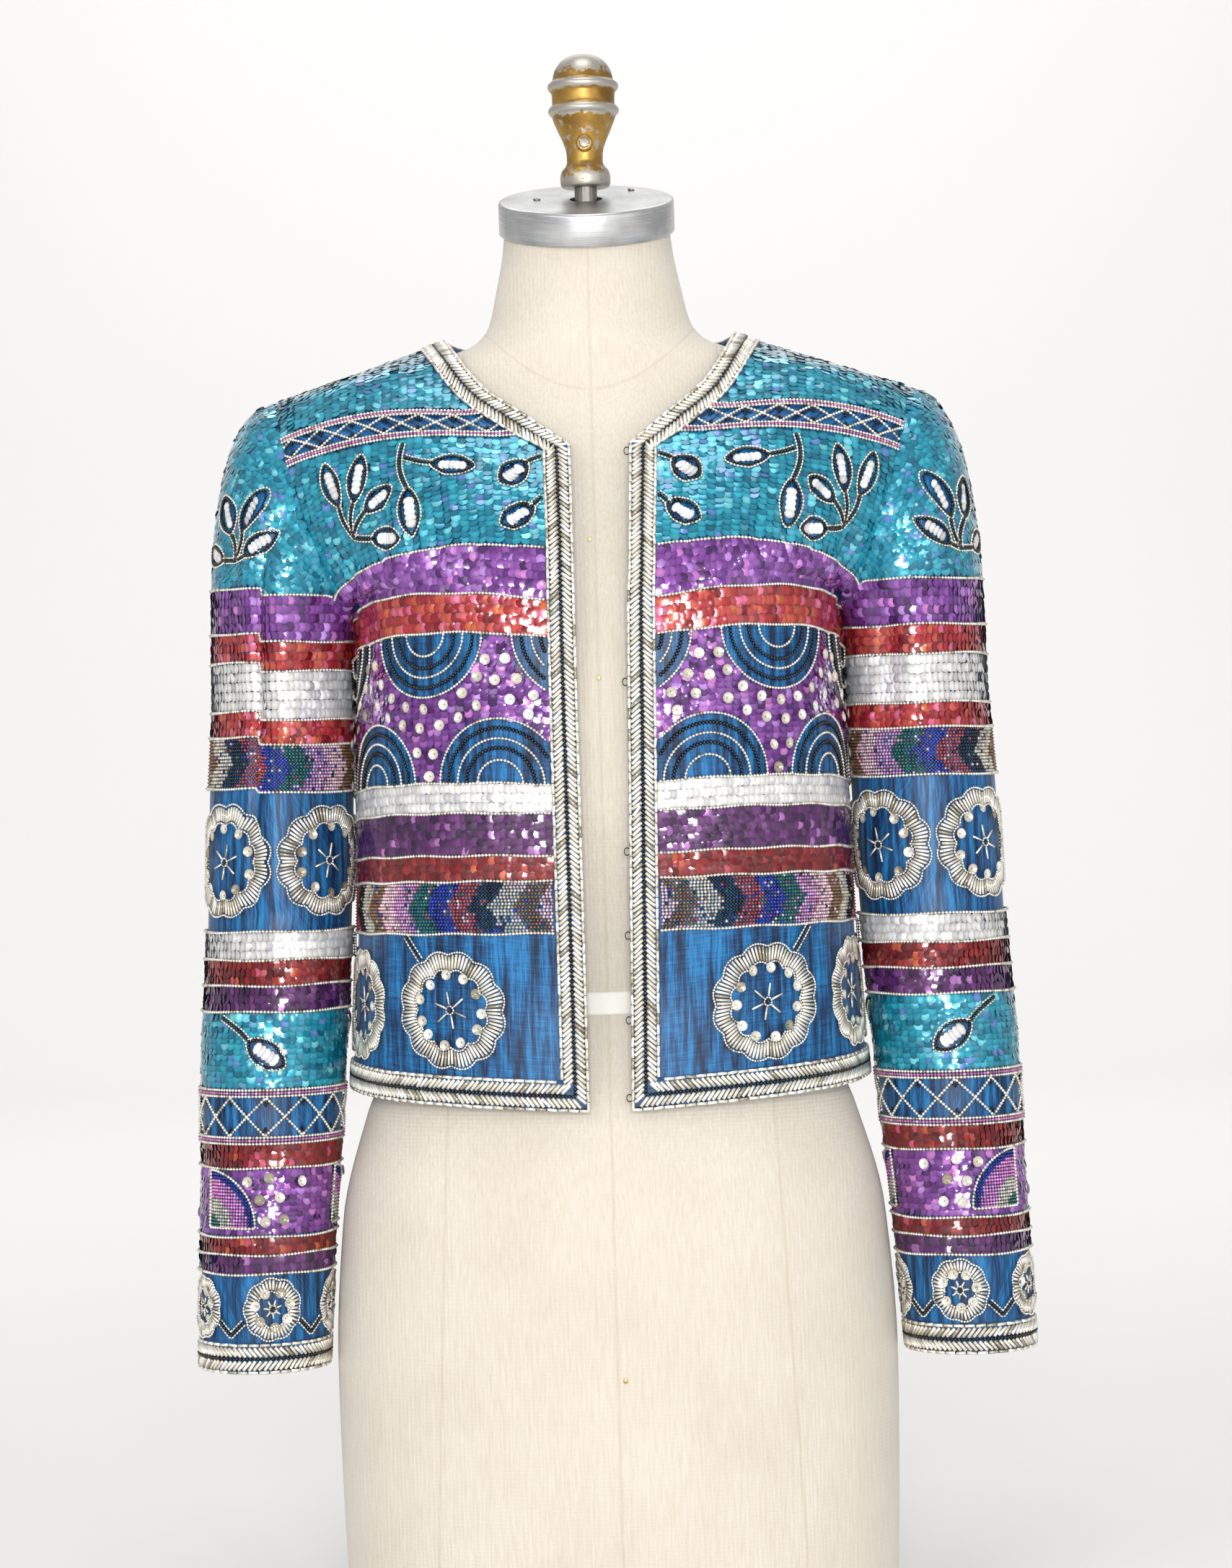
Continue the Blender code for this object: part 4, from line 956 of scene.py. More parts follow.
def strew(name, shape, parts, finish, node_slot):
    """Copies of one small shape joined in a mesh. A part is points, frames, sizes and colours. Each copy's
    colours are multiplied by the shape's corner shades, which are painted light and shade.
    """
    corners, triangles, shades = np.array(shape[0], float), np.array(shape[1]), np.array(shape[2])
    points, frames, sizes, tints = zip(*parts)
    sizes = [np.broadcast_to(np.array(size, float), (len(at), 3)) for at, size in zip(points, sizes)]
    axes = np.concatenate(frames) * np.concatenate(sizes)[:, :, None]
    points = np.concatenate(points)
    count, verts = len(points), len(corners)
    places = points[:, None, :] + np.einsum("vk,nkj->nvj", corners, axes)
    faces = triangles[None] + (np.arange(count) * verts)[:, None, None]
    mesh = bpy.data.meshes.new(name)
    mesh.vertices.add(count * verts)
    mesh.vertices.foreach_set("co", places.astype(np.float32).ravel())
    mesh.loops.add(faces.size)
    mesh.loops.foreach_set("vertex_index", faces.astype(np.int32).ravel())
    mesh.polygons.add(faces.size // 3)
    mesh.polygons.foreach_set("loop_start", np.arange(0, faces.size, 3, dtype=np.int32))
    mesh.update(calc_edges=True)
    tint = mesh.color_attributes.new(name="tint", type="FLOAT_COLOR", domain="POINT")
    tints_with_painted_light = np.repeat(np.concatenate(tints), verts, axis=0)
    # Painted light and shade: each corner's shade brightens or darkens the copy's colour.
    tints_with_painted_light[:, :3] *= np.tile(shades, count)[:, None]
    tint.data.foreach_set("color", np.clip(tints_with_painted_light, 0, 1).astype(np.float32).ravel())
    show(name, mesh, finish, node_slot)


def choose(rng, count, *choices):
    """Colours drawn from (hex, weight) choices, each a little lighter or darker."""
    weights = np.array([weight for _, weight in choices], float)
    shades = np.array([colour(code) for code, _ in choices])
    drawn = shades[rng.choice(len(choices), count, p=weights / weights.sum())]
    drawn[:, :3] *= rng.uniform(0.85, 1.15, (count, 1))
    return np.clip(drawn, 0, 1)


def tinted(name, **sockets):
    """A glossy material whose colour is each small piece's own tint, with the painted light and shade of
    its corners.
    """
    finish, tree, surface = new_finish(name, **sockets)
    tint = add_node(tree, "Attribute", attribute_name="tint")
    tree.links.new(tint.outputs["Color"], surface.inputs["Base Color"])
    return finish


# Leaf shapes and half circles that the sequins leave room for: s, h, half length, half width and the
# angle of the long axis, from +s towards +h.
LEAVES = {
    "front": table(
        "s h long wide angle root_s root_h",
        (0.0980, 0.6680, 0.0130, 0.0058, 92, 0.1000, 0.7110),
        (0.0700, 0.6940, 0.0120, 0.0052, 8, 0.0990, 0.7020),
        (0.0340, 0.6880, 0.0095, 0.0066, -40, 0.0175, 0.6990),
        (0.0330, 0.6620, 0.0105, 0.0056, -30, 0.0175, 0.6740),
        (0.1290, 0.6950, 0.0125, 0.0050, 105, 0.1380, 0.6640),
        (0.1470, 0.6960, 0.0120, 0.0046, 75, 0.1380, 0.6640),
        (0.1170, 0.6800, 0.0095, 0.0048, 150, 0.1380, 0.6640),
        (0.1160, 0.6565, 0.0085, 0.0056, 15, 0.1380, 0.6640),
    ),
    "back": table(
        "s h long wide angle root_s root_h",
        (0.0250, 0.6900, 0.0125, 0.0054, 110, 0.0380, 0.6600),
        (0.0500, 0.6920, 0.0125, 0.0052, 65, 0.0380, 0.6600),
        (0.0600, 0.6700, 0.0105, 0.0054, 20, 0.0380, 0.6600),
        (0.1080, 0.6820, 0.0130, 0.0058, 92, 0.1090, 0.7110),
        (0.0800, 0.6960, 0.0115, 0.0052, 8, 0.1085, 0.7030),
        (0.1350, 0.6700, 0.0110, 0.0056, 130, 0.1480, 0.6520),
    ),
    "sleeve": table(
        "s h long wide angle root_s root_h",
        (0.0230, 0.6710, 0.0125, 0.0052, 112, 0.0360, 0.6400),
        (0.0390, 0.6720, 0.0125, 0.0050, 86, 0.0360, 0.6400),
        (0.0500, 0.6500, 0.0090, 0.0054, 50, 0.0360, 0.6400),
        (0.0150, 0.6450, 0.0100, 0.0056, 155, 0.0360, 0.6400),
        (0.2050, 0.6680, 0.0125, 0.0052, 105, 0.2150, 0.6380),
        (0.2300, 0.6650, 0.0120, 0.0052, 60, 0.2150, 0.6380),
        (0.0680, 0.3480, 0.0125, 0.0066, -35, 0.0380, 0.3700),
        (0.1600, 0.3480, 0.0125, 0.0066, -35, 0.1300, 0.3700),
        (0.2520, 0.3480, 0.0125, 0.0066, -35, 0.2220, 0.3700),
    ),
}
ARCS = [(s, 0.5947, 0.0375, -1) for s in (0.0, 0.0930, 0.1860)]
ARCS += [(s, 0.5070, 0.0375, 1) for s in (0.0465, 0.1395, 0.2325)]
MOONS = [(SLEEVE_ROUND * k / 3 + 0.0300, 0.2440, 0.0345) for k in range(3)]


def kind_of(panel):
    """front, back or sleeve."""
    return panel.split("_")[0]


def under_motif(panel, s, h, margin=0.0012):
    """Which places a leaf, half circle or half-moon covers."""
    covered = np.zeros(s.shape, bool)
    for cs, ch, long, wide, angle, *_ in zip(*LEAVES[kind_of(panel)].values()):
        a = math.radians(angle)
        x, y = s - cs, h - ch
        x, y = x * math.cos(a) + y * math.sin(a), y * math.cos(a) - x * math.sin(a)
        covered |= (x / (long + margin)) ** 2 + (y / (wide + margin)) ** 2 < 1
    if kind_of(panel) == "sleeve":
        for cs, ch, radius in MOONS:
            x, y = s - cs, h - ch
            quarter = (x > -margin) & (y > -margin) & (h < 0.2798)
            covered |= quarter & (np.hypot(x, y) < radius + margin)
    else:
        for cs, ch, radius, way in ARCS:
            covered |= (np.hypot(s - cs, h - ch) < radius + margin) & ((h - ch) * way > 0)
    return covered


# The sequins: 6.4 mm cupped discs sewn by their centres in strands 5.2 mm apart, or 4.7 mm down the
# sleeves, every 3.4 mm along a strand, each lapping the next. Strands run down the cloth in the fields
# and along the narrow bands.
SEQUIN_RADIUS, SEQUIN_STEP = 0.0032, 0.0034
STRAND_GAP, SLEEVE_STRAND_GAP = 0.0052, 0.0047
# The shades of its corners are painted light and shade: a painted highlight at the centre and painted shade
# round the rim, so that each disc's edge shows against the next.
SEQUIN = (
    [(0, 0, 0.10)] + [(math.cos(a), math.sin(a), 0) for a in np.arange(8) * math.pi / 4],
    [(0, 1 + k, 1 + (k + 1) % 8) for k in range(8)],
    [1.15] + [0.72] * 8,
)
# Most of each coloured palette is the foil's own colours and iridescent hues; its palest tints are painted
# glints and its darkest are painted shade, given to single sequins at random.
TEAL = (("1E93AE", 6), ("15809B", 3), ("2BA6BE", 3), ("5E86C8", 0.6), ("6FD0DE", 0.7), ("0B6E8A", 1.5))
VIOLET = (("7A3F94", 6), ("643080", 3), ("9455AE", 3), ("B784D6", 0.7), ("C77BC9", 0.8), ("4B2361", 1.5))
DEEP_VIOLET = (("55245F", 6), ("431A4C", 3), ("6C3576", 2), ("A86CB4", 0.4), ("C77BC9", 0.2), ("30123E", 2))
RED = (("B03034", 6), ("961F28", 3), ("C05040", 2.4), ("C6603A", 1.0), ("DA6A8C", 1.4), ("7A1418", 1.2))
DEEP_RED = (("83161B", 6), ("6C0C13", 4), ("9A2A22", 1.6), ("C05834", 0.4), ("C84F70", 0.3), ("5E0A0E", 2))
WHITE = (("EAE8E5", 5), ("DEDCDA", 3), ("F6F5F3", 2), ("CFCED1", 1))
FRONT_BANDS = (
    (0.6440, 0.7609, TEAL, "down"),
    (0.6180, 0.6440, VIOLET, "round"),
    (0.5947, 0.6180, RED, "round"),
    (0.5070, 0.5947, VIOLET, "down"),
    (0.4895, 0.5070, WHITE, "round"),
    (0.4645, 0.4895, DEEP_VIOLET, "round"),
    (0.4494, 0.4645, DEEP_RED, "round"),
)
SLEEVE_BANDS = (
    (0.6224, 0.7430, TEAL, "down"),
    (0.5950, 0.6224, VIOLET, "round"),
    (0.5774, 0.5950, RED, "round"),
    (0.5480, 0.5774, WHITE, "round"),
    (0.5330, 0.5480, RED, "round"),
    (0.4042, 0.4210, WHITE, "round"),
    (0.3887, 0.4042, DEEP_RED, "round"),
    (0.3731, 0.3887, DEEP_VIOLET, "round"),
    (0.3265, 0.3731, TEAL, "down"),
    (0.2798, 0.2945, DEEP_RED, "round"),
    (0.2388, 0.2798, VIOLET, "down"),
    (0.2280, 0.2388, DEEP_RED, "round"),
    (0.2165, 0.2280, DEEP_VIOLET, "round"),
)
# The yoke's lattice band is 24 mm wide and crosses fronts and back below the shoulder seam.
down_from_seam = np.linalg.norm(np.diff(left_grid[:, 48], axis=0), axis=1)[::-1].cumsum()


def below_seam(distance):
    """h at a distance down the cloth from the shoulder seam."""
    return np.interp(distance, down_from_seam, HEIGHTS[::-1][1:])


LATTICE_TOP = float(np.interp(-0.7310, -HEIGHTS[::-1][1:], down_from_seam))
LATTICE_HIGH, LATTICE_LOW = below_seam(LATTICE_TOP), below_seam(LATTICE_TOP + 0.024)
# Sequin foil is clear film over colour: it glints white where a disc catches the light.
sequin_foil = tinted(
    "iridescent_sequin_foil", Roughness=0.20, Metallic=0.30, Coat_Weight=0.7, Coat_Roughness=0.06
)
rng = np.random.default_rng(11)


def past_neck(point):
    """Which points of the back lie past the neckline's 17 mm edging."""
    clear = 0.0172
    return np.hypot(point[:, 0] / (NECK_HALF + clear), (point[:, 1] - NECK_Y) / (NECK_BEHIND + clear)) > 1


def sequin_parts(panel, low, high, palette, way):
    """Strands of sequins that fill a band of a panel."""
    p, s_all, h_all = PLACES[panel], [], []
    if way == "down":
        count = int(p["end"] / SLEEVE_STRAND_GAP) if p["around"] else int(p["end"] / STRAND_GAP) + 9
        spacing = p["end"] / count if p["around"] else STRAND_GAP
        heights = p["levels"][(p["levels"] > low) & (p["levels"] < high)]
        heights = np.concatenate([[high - 0.0015], heights[::-1], [low + 0.0022]])
        heights = heights[(heights <= high - 0.0015) & (heights >= low + 0.0022)]
        for k in range(count):
            s, h = along(panel, np.full(len(heights), (k + 0.5) * spacing), heights, SEQUIN_STEP)
            s_all.append(s + rng.normal(0, 0.00015, len(s)))
            h_all.append(h)
            if p["around"] and high > 0.7:
                # More strands lie between them where the sleeve's head is wider.
                s = s + spacing / 2
                ends = [on_cloth(panel, s + d, h)[0] for d in (spacing / 2, -spacing / 2)]
                wide = np.linalg.norm(ends[0] - ends[1], axis=1) > 0.0056
                s_all.append(s[wide])
                h_all.append(h[wide] - SEQUIN_STEP / 2)
        ds, dh = 0.0, -1.0
    else:
        spots = np.linspace(0.1, 0.9, 5) * p["end"]
        ends = [on_cloth(panel, spots, spots * 0 + h)[0] for h in (high, low)]
        width = np.linalg.norm(ends[0] - ends[1], axis=1).max() - 0.0012
        rows = max(int(round(width / STRAND_GAP)), 2)
        for k in range(rows):
            level = low + 0.0006 + (high - low - 0.0012) * (k + 0.5) / rows
            line = np.linspace(0, p["end"], 160)
            s, h = along(panel, line, np.full(160, level), SEQUIN_STEP, rng.uniform(0.3, 0.7))
            s_all.append(s)
            h_all.append(h + rng.normal(0, 0.00015, len(h)))
        ds, dh = 1.0, 0.0
    s, h = np.concatenate(s_all), np.concatenate(h_all)
    point, axes, inside = seated(panel, s, h, ds, dh, 0.0011)
    keep = inside & ~under_motif(panel, s, h)
    if not p["around"]:
        keep &= (h < LATTICE_LOW - 0.001) | (h > LATTICE_HIGH + 0.002)
        # The front edge's border is 17 mm wide, and no sequin lies on it.
        keep &= (from_edge(panel, s, h) > 0.0178) | (kind_of(panel) == "back")
        if kind_of(panel) == "back":
            keep &= past_neck(point)
    point, axes = point[keep], axes[keep]
    count = len(point)
    # They lie flatter where the cloth faces up, at the top of the shoulders.
    flat = np.clip(1.5 - 1.5 * axes[:, 2, 2], 0.45, 1)
    lean = leaned(axes, 0.15 * flat + rng.normal(0, 0.08, count), rng.normal(0, 0.09, count))
    return point, lean, SEQUIN_RADIUS, choose(rng, count, *palette)


for panel in PLACES:
    bands = SLEEVE_BANDS if kind_of(panel) == "sleeve" else FRONT_BANDS
    parts = [sequin_parts(panel, *band) for band in bands]
    strew("sequins_" + panel, SEQUIN, parts, sequin_foil, f"sequinned_silk_{kind_of(panel)}")

# Seed beads and bugles: silver-lined glass 1.6 to 3 mm across, strung on the lines between the bands
# and round every motif, with black beads beside them.
# The bead's corner shades paint a highlight on the tip that faces out of the cloth, and painted shade on
# the tip against the cloth and at its two ends.
BEAD = (
    [(1, 0, 0), (-1, 0, 0), (0, 1, 0), (0, -1, 0), (0, 0, 1), (0, 0, -1)],
    [(0, 2, 4), (2, 1, 4), (1, 3, 4), (3, 0, 4), (2, 0, 5), (1, 2, 5), (3, 1, 5), (0, 3, 5)],
    [0.85, 0.85, 0.75, 0.75, 1.25, 0.6],
)
# A bugle's corner shades paint the side that faces out of the cloth lighter, as a painted highlight, and
# its underside darker, as painted shade.
pipe = np.arange(5) * 2 * math.pi / 5
BUGLE = (
    [(math.cos(a), y, math.sin(a)) for y in (-1, 1) for a in pipe],
    [t for k in range(5) for t in ((k, 5 + k, (k + 1) % 5), ((k + 1) % 5, 5 + k, 5 + (k + 1) % 5))]
    + [(0, 1, 2), (0, 2, 3), (0, 3, 4), (5, 7, 6), (5, 8, 7), (5, 9, 8)],
    [0.8, 1.15, 1.0, 0.55, 0.55] * 2,
)
# A cupped sequin is held by a bead in its hollow; the bead itself is not drawn. The corner shades paint its
# centre dark, for the hole and as painted shade in the hollow, with a painted highlight on the inner ring
# and painted shade at the rim.
rim = [(math.cos(a), math.sin(a)) for a in np.arange(10) * math.pi / 5]
after = [(k, (k + 1) % 10) for k in range(10)]
CUP = (
    [(0, 0, -0.10)] + [(r * x, r * y, z) for r, z in ((0.35, 0.16), (1, 0.42)) for x, y in rim],
    [(0, 1 + k, 1 + n) for k, n in after]
    + [t for k, n in after for t in ((1 + k, 11 + k, 11 + n), (1 + k, 11 + n, 1 + n))],
    [0.22] + [1.15] * 10 + [0.75] * 10,
)
SILVER = (("EEE8DB", 5), ("DAD3C2", 4), ("F8F5ED", 2.5), ("A59D88", 1.0))
BLACK = (("0B0B0E", 5), ("1C1C22", 1))
PINK = (("B873A6", 4), ("9A5A8C", 2), ("D9A6C8", 1))
# Glass with a silver lining is nearly as bright as metal. Plain glass is deep in colour with a
# small clear glint.
bead_glass = tinted(
    "silver_lined_glass", Roughness=0.22, Metallic=0.45, Coat_Weight=0.6, Coat_Roughness=0.05
)
jet_glass = tinted(
    "coloured_glass_bead", Roughness=0.20, Metallic=0.10, Coat_Weight=0.35, Coat_Roughness=0.08
)
silver, dark, bugles, cups, pale = ({panel: [] for panel in PLACES} for _ in range(5))


def heading(s, h):
    """Which way a line on the cloth runs at each of its points."""
    ds, dh = np.gradient(s), np.gradient(h)
    size = np.maximum(np.hypot(ds, dh), 1e-9)
    return ds / size, dh / size


def set_down(store, panel, placed, size, palette):
    """The pieces that are on the panel added to a store, each with its colour."""
    point, axes, inside = placed
    tint = choose(rng, int(inside.sum()), *palette)
    store[panel].append((point[inside], axes[inside], size, tint))


def string(store, panel, s, h, palette, pitch=0.0021, radius=0.0012, lift=0.0019):
    """Beads strung along a line on the cloth and added to a store."""
    s, h = along(panel, np.array(s, float), np.array(h, float), pitch)
    if len(s) < 2:
        return
    point, axes, inside = seated(panel, s, h, *heading(s, h), lift)
    if kind_of(panel) == "front":
        inside &= from_edge(panel, s, h) > 0.0175
    elif kind_of(panel) == "back":
        inside &= past_neck(point)
    set_down(store, panel, (point, axes, inside), (radius, pitch * 0.75, radius), palette)


# A line of silver beads lies between each two bands.
FRONT_LINES = (0.6440, 0.6180, 0.5947, 0.5070, 0.4895, 0.4645, 0.4494, 0.4188)
SLEEVE_LINES = (
    0.6224, 0.5950, 0.5774, 0.5480, 0.5330, 0.5044, 0.4210,
    0.4042, 0.3887, 0.3731, 0.2798, 0.2388, 0.2280, 0.2165,
)
for panel, p in PLACES.items():
    first = 0.0175 if kind_of(panel) == "front" else 0.0
    for level in SLEEVE_LINES if p["around"] else FRONT_LINES:
        wander = 0.0004 * np.sin(np.linspace(0, 26, 240) + level * 900)
        string(silver, panel, np.linspace(first, p["end"], 240), level + wander, SILVER)

# Chevrons of seed beads cross each front, the back and each upper sleeve, in stripes of eight
# colours, 13.8 mm wide, that point 10 mm along the band at its middle.
SEED_BEAD, STRIPE_WIDTH, STRIPE_POINT = 0.00125, 0.0138, 0.0100
CHEVRONS = ("C0A0A8", "6A5238", "A8A498", "16161A", "8A3A3C", "262C8C", "24564A", "A97AA2")
chevron_tints = np.array([colour(c) for c in CHEVRONS])
chevrons = []
for panel, p in PLACES.items():
    low, high = (0.5044, 0.5330) if p["around"] else (0.4188, 0.4494)
    first = 0.0180 if kind_of(panel) == "front" else 0.0
    for level in np.arange(low + 0.0016, high - 0.0010, 0.00195):
        line = np.linspace(first, p["end"], 200)
        s, h = along(panel, line, np.full(200, level), 0.0021, rng.uniform(0.2, 0.8))
        point, axes, inside = seated(panel, s, h, 1.0, 0.0, 0.0008)
        point, axes, s = point[inside], axes[inside], s[inside]
        peak = STRIPE_POINT * (1 - abs(2 * level - low - high) / (high - low))
        stripe = ((s - first - peak) / STRIPE_WIDTH + 17).astype(int) % 8
        # The beads are iridescent, so one in seven shows another of the colours.
        odd = rng.random(len(s)) < 0.14
        stripe[odd] = rng.integers(0, 8, int(odd.sum()))
        tint = chevron_tints[stripe] * rng.uniform(0.8, 1.9, (len(s), 1))
        chevrons.append((point, axes, SEED_BEAD, np.clip(tint, 0, 1)))
strew("bead_chevrons", BEAD, chevrons, jet_glass, "bugle_border")

# The quarter discs of beads on the lower sleeves, in rings of green, silver, pink and navy, each
# outlined by silver beads.


def circle(cs, ch, radius, turn):
    """Places round a centre on the cloth."""
    return cs + radius * np.cos(turn), ch + radius * np.sin(turn)


MOON_TINTS = np.array([colour(c) for c in ("24564A", "A8A498", "B070A8", "1B2478")])
moons = []
for panel in ("sleeve_left", "sleeve_right"):
    for cs, ch, radius in MOONS:
        x, y = np.meshgrid(np.arange(0.0008, radius, 0.0021), np.arange(0.0008, radius, 0.00195))
        kept = (np.hypot(x, y) < radius) & (y + ch < 0.2788)
        x, y = x[kept], y[kept]
        point, axes, inside = seated(panel, x + cs, y + ch, 1.0, 0.0, 0.0008)
        ring = np.searchsorted((0.008, 0.018, 0.029), np.hypot(x, y))
        tint = MOON_TINTS[ring] * rng.uniform(0.8, 1.9, (len(x), 1))
        moons.append((point, axes, SEED_BEAD, np.clip(tint, 0, 1)))
        turn = np.linspace(0, math.pi / 2, 40)
        string(silver, panel, *circle(cs, ch, radius, turn), SILVER)
        string(silver, panel, np.full(20, cs), np.linspace(ch, 0.2790, 20), SILVER)
        string(silver, panel, np.linspace(cs, cs + radius, 20), np.full(20, ch), SILVER)
strew("bead_quarter_discs", BEAD, moons, jet_glass, "bugle_border")

# Half circles of bare silk in the violet fields of the fronts and back, each with five lines of
# silver and black beads.
for panel, p in PLACES.items():
    if p["around"]:
        continue
    for cs, ch, radius, way in ARCS:
        turn = np.linspace(0, math.pi, 90)
        for inset, palette, store in (
            (0.0, SILVER, silver), (0.0055, BLACK, dark), (0.0115, SILVER, silver),
            (0.0170, BLACK, dark), (0.0240, SILVER, silver),
        ):
            s = cs + (radius - inset) * np.cos(turn)
            h = ch + way * (radius - inset) * np.sin(turn)
            kept = (s > (0.0180 if kind_of(panel) == "front" else 0.0)) & (s < p["end"])
            if kept.sum() > 4:
                bead = 0.0015 if palette is BLACK else 0.0011
                string(store, panel, s[kept], h[kept], palette, radius=bead)

# The lattice bands: crossed lines of silver beads on bare silk between pink bead borders, with black
# beads in each point. One lies below each shoulder seam and one round each lower sleeve.
for panel, p in PLACES.items():
    wide, half = (0.0320, 0.0215) if p["around"] else (0.0240, 0.0195)
    level = (lambda v: 0.3265 - v) if p["around"] else (lambda v: below_seam(LATTICE_TOP + v))
    first = 0.0100 if kind_of(panel) == "front" else 0.0
    last = p["end"] if p["around"] else 0.215
    line = np.linspace(first, last, 260)
    for v in (0.0, wide):
        inner = 1 if v == 0 else -1
        string(silver, panel, line, np.full(260, level(v)), SILVER)
        string(dark, panel, line, np.full(260, level(v + inner * 0.0019)), PINK)
        string(silver, panel, line, np.full(260, level(v + inner * 0.0037)), SILVER)
    points = int((last - first) / half / 2) * 2
    step = (last - first) / points
    for phase in (0, 1):
        along_s = first + np.arange(points + 1) * step
        across_v = np.where((np.arange(points + 1) + phase) % 2 == 0, 0.0045, wide - 0.0045)
        fine_s = np.linspace(first, last, 400)
        string(silver, panel, fine_s, level(np.interp(fine_s, along_s, across_v)), SILVER)
        for corner_s, corner_v in zip(along_s, across_v):
            way = 1 if corner_v < wide / 2 else -1
            at = np.array([-0.0011, 0.0011, 0.0]) + corner_s
            rise = np.array([0.0, 0.0, way * 0.0016]) + (corner_v + way * 0.0030)
            point, axes, inside = seated(panel, at, level(rise), 1.0, 0.0, 0.0012)
            if inside.all():
                dark[panel].append((point, axes, 0.0011, choose(rng, 3, *BLACK)))

# Rosettes: scalloped rings of bugles set like spokes between two lines of silver beads, with cupped
# silver sequins inside and a star of thin bugles round a black bead.


def tumbled(placed, pitch, scatter):
    """Pieces that each lean a little their own way."""
    point, axes, inside = placed
    count = len(point)
    lean = leaned(axes, rng.normal(pitch, scatter, count), rng.normal(0, scatter, count))
    return point, lean, inside


def rosette(panel, cs, ch, radius, lobes, spoke, cup_count, star):
    """One rosette on the cloth."""

    def scalloped(turn):
        return radius * (0.925 + 0.075 * np.abs(np.sin(lobes * turn / 2)))

    def spokes(turn, reach, size):
        placed = seated(panel, *circle(cs, ch, reach, turn), np.cos(turn), np.sin(turn), 0.0013)
        set_down(bugles, panel, placed, size, SILVER)

    count = int(2 * math.pi * (radius - spoke / 2) / 0.0021)
    turn = np.arange(count) * 2 * math.pi / count
    spokes(turn, scalloped(turn) - spoke / 2, (0.00088, spoke / 2, 0.00088))
    turn = np.linspace(0, 2 * math.pi, 200)
    for reach in (scalloped(turn) + 0.0012, scalloped(turn) - spoke - 0.0010):
        string(silver, panel, *circle(cs, ch, reach, turn), SILVER, pitch=0.0017, radius=0.0009)
    turn = (np.arange(cup_count) + rng.uniform(-0.12, 0.12, cup_count)) * 2 * math.pi / cup_count + 0.3
    reach = radius * 0.60 * rng.uniform(0.96, 1.06, cup_count)
    placed = seated(panel, *circle(cs, ch, reach, turn), 0.0, -1.0, 0.0012)
    set_down(cups, panel, tumbled(placed, 0, 0.10), 0.0032, SILVER)
    turn = np.arange(star) * 2 * math.pi / star + 0.35
    spokes(turn, radius * 0.21, (0.00065, radius * 0.115, 0.00065))
    turn = np.linspace(0, 2 * math.pi, 30)
    string(silver, panel, *circle(cs, ch, 0.0024, turn), SILVER, pitch=0.0016, radius=0.0008)
    placed = seated(panel, np.array([cs]), np.array([ch]), 0.0, -1.0, 0.0018)
    set_down(dark, panel, placed, 0.0015, BLACK)


def stem(panel, s, h):
    """A stem: black beads between two lines of silver ones."""
    string(dark, panel, s, h, BLACK, radius=0.0013, lift=0.0022)
    ds, dh = heading(s, h)
    for offset in (0.0017, -0.0017):
        string(silver, panel, s - dh * offset, h + ds * offset, SILVER, radius=0.0008, lift=0.0020)


for panel, p in PLACES.items():
    kind = kind_of(panel)
    if kind == "sleeve":
        for k in range(4):
            rosette(panel, SLEEVE_ROUND * (k + 0.5) / 4, 0.4630, 0.0325, 12, 0.0082, 10, 6)
        for k in range(5):
            centre = SLEEVE_ROUND * (k + 0.4) / 5
            rosette(panel, centre, 0.1955, 0.0178, 9, 0.0058, 7, 7)
            low = centre + SLEEVE_ROUND / 10
            line = np.linspace(-0.0090, 0.0090, 20)
            stem(panel, low + line, 0.1800 + np.abs(line) * 0.9)
    else:
        for centre in (0.0820, 0.1640) if kind == "front" else (0.0400, 0.1180, 0.1960):
            rosette(panel, centre, 0.3745, 0.0335, 12, 0.0085, 11, 6)
            stem_s = np.linspace(centre + 0.0300, centre + 0.0190, 12)
            stem(panel, stem_s, np.linspace(0.4180, 0.4035, 12))

# Cupped silver sequins follow the half circles and quarter discs over the violet fields, 13.5 mm
# apart.
for panel, p in PLACES.items():
    chosen = []
    low, high = (0.2388, 0.2798) if p["around"] else (0.5070, 0.5947)
    first = 0.022 if kind_of(panel) == "front" else 0
    for cs, ch, radius, *_ in MOONS if p["around"] else ARCS:
        for reach in (radius + 0.0065, radius + 0.0175):
            for turn in np.arange(0.1, 2 * math.pi, 0.0135 / reach):
                s, h = cs + reach * math.cos(turn), ch + reach * math.sin(turn)
                in_field = low + 0.004 < h < high - 0.004 and first < s < p["end"]
                clear = all(math.hypot(s - a, h - b) > 0.0105 for a, b in chosen)
                if in_field and clear and not under_motif(panel, np.array([s]), np.array([h]), 0.0045)[0]:
                    chosen.append((s, h))
    placed = seated(panel, *np.array(chosen).T, 0.0, -1.0, 0.0030)
    set_down(cups, panel, tumbled(placed, 0.05, 0.10), 0.0033, SILVER)

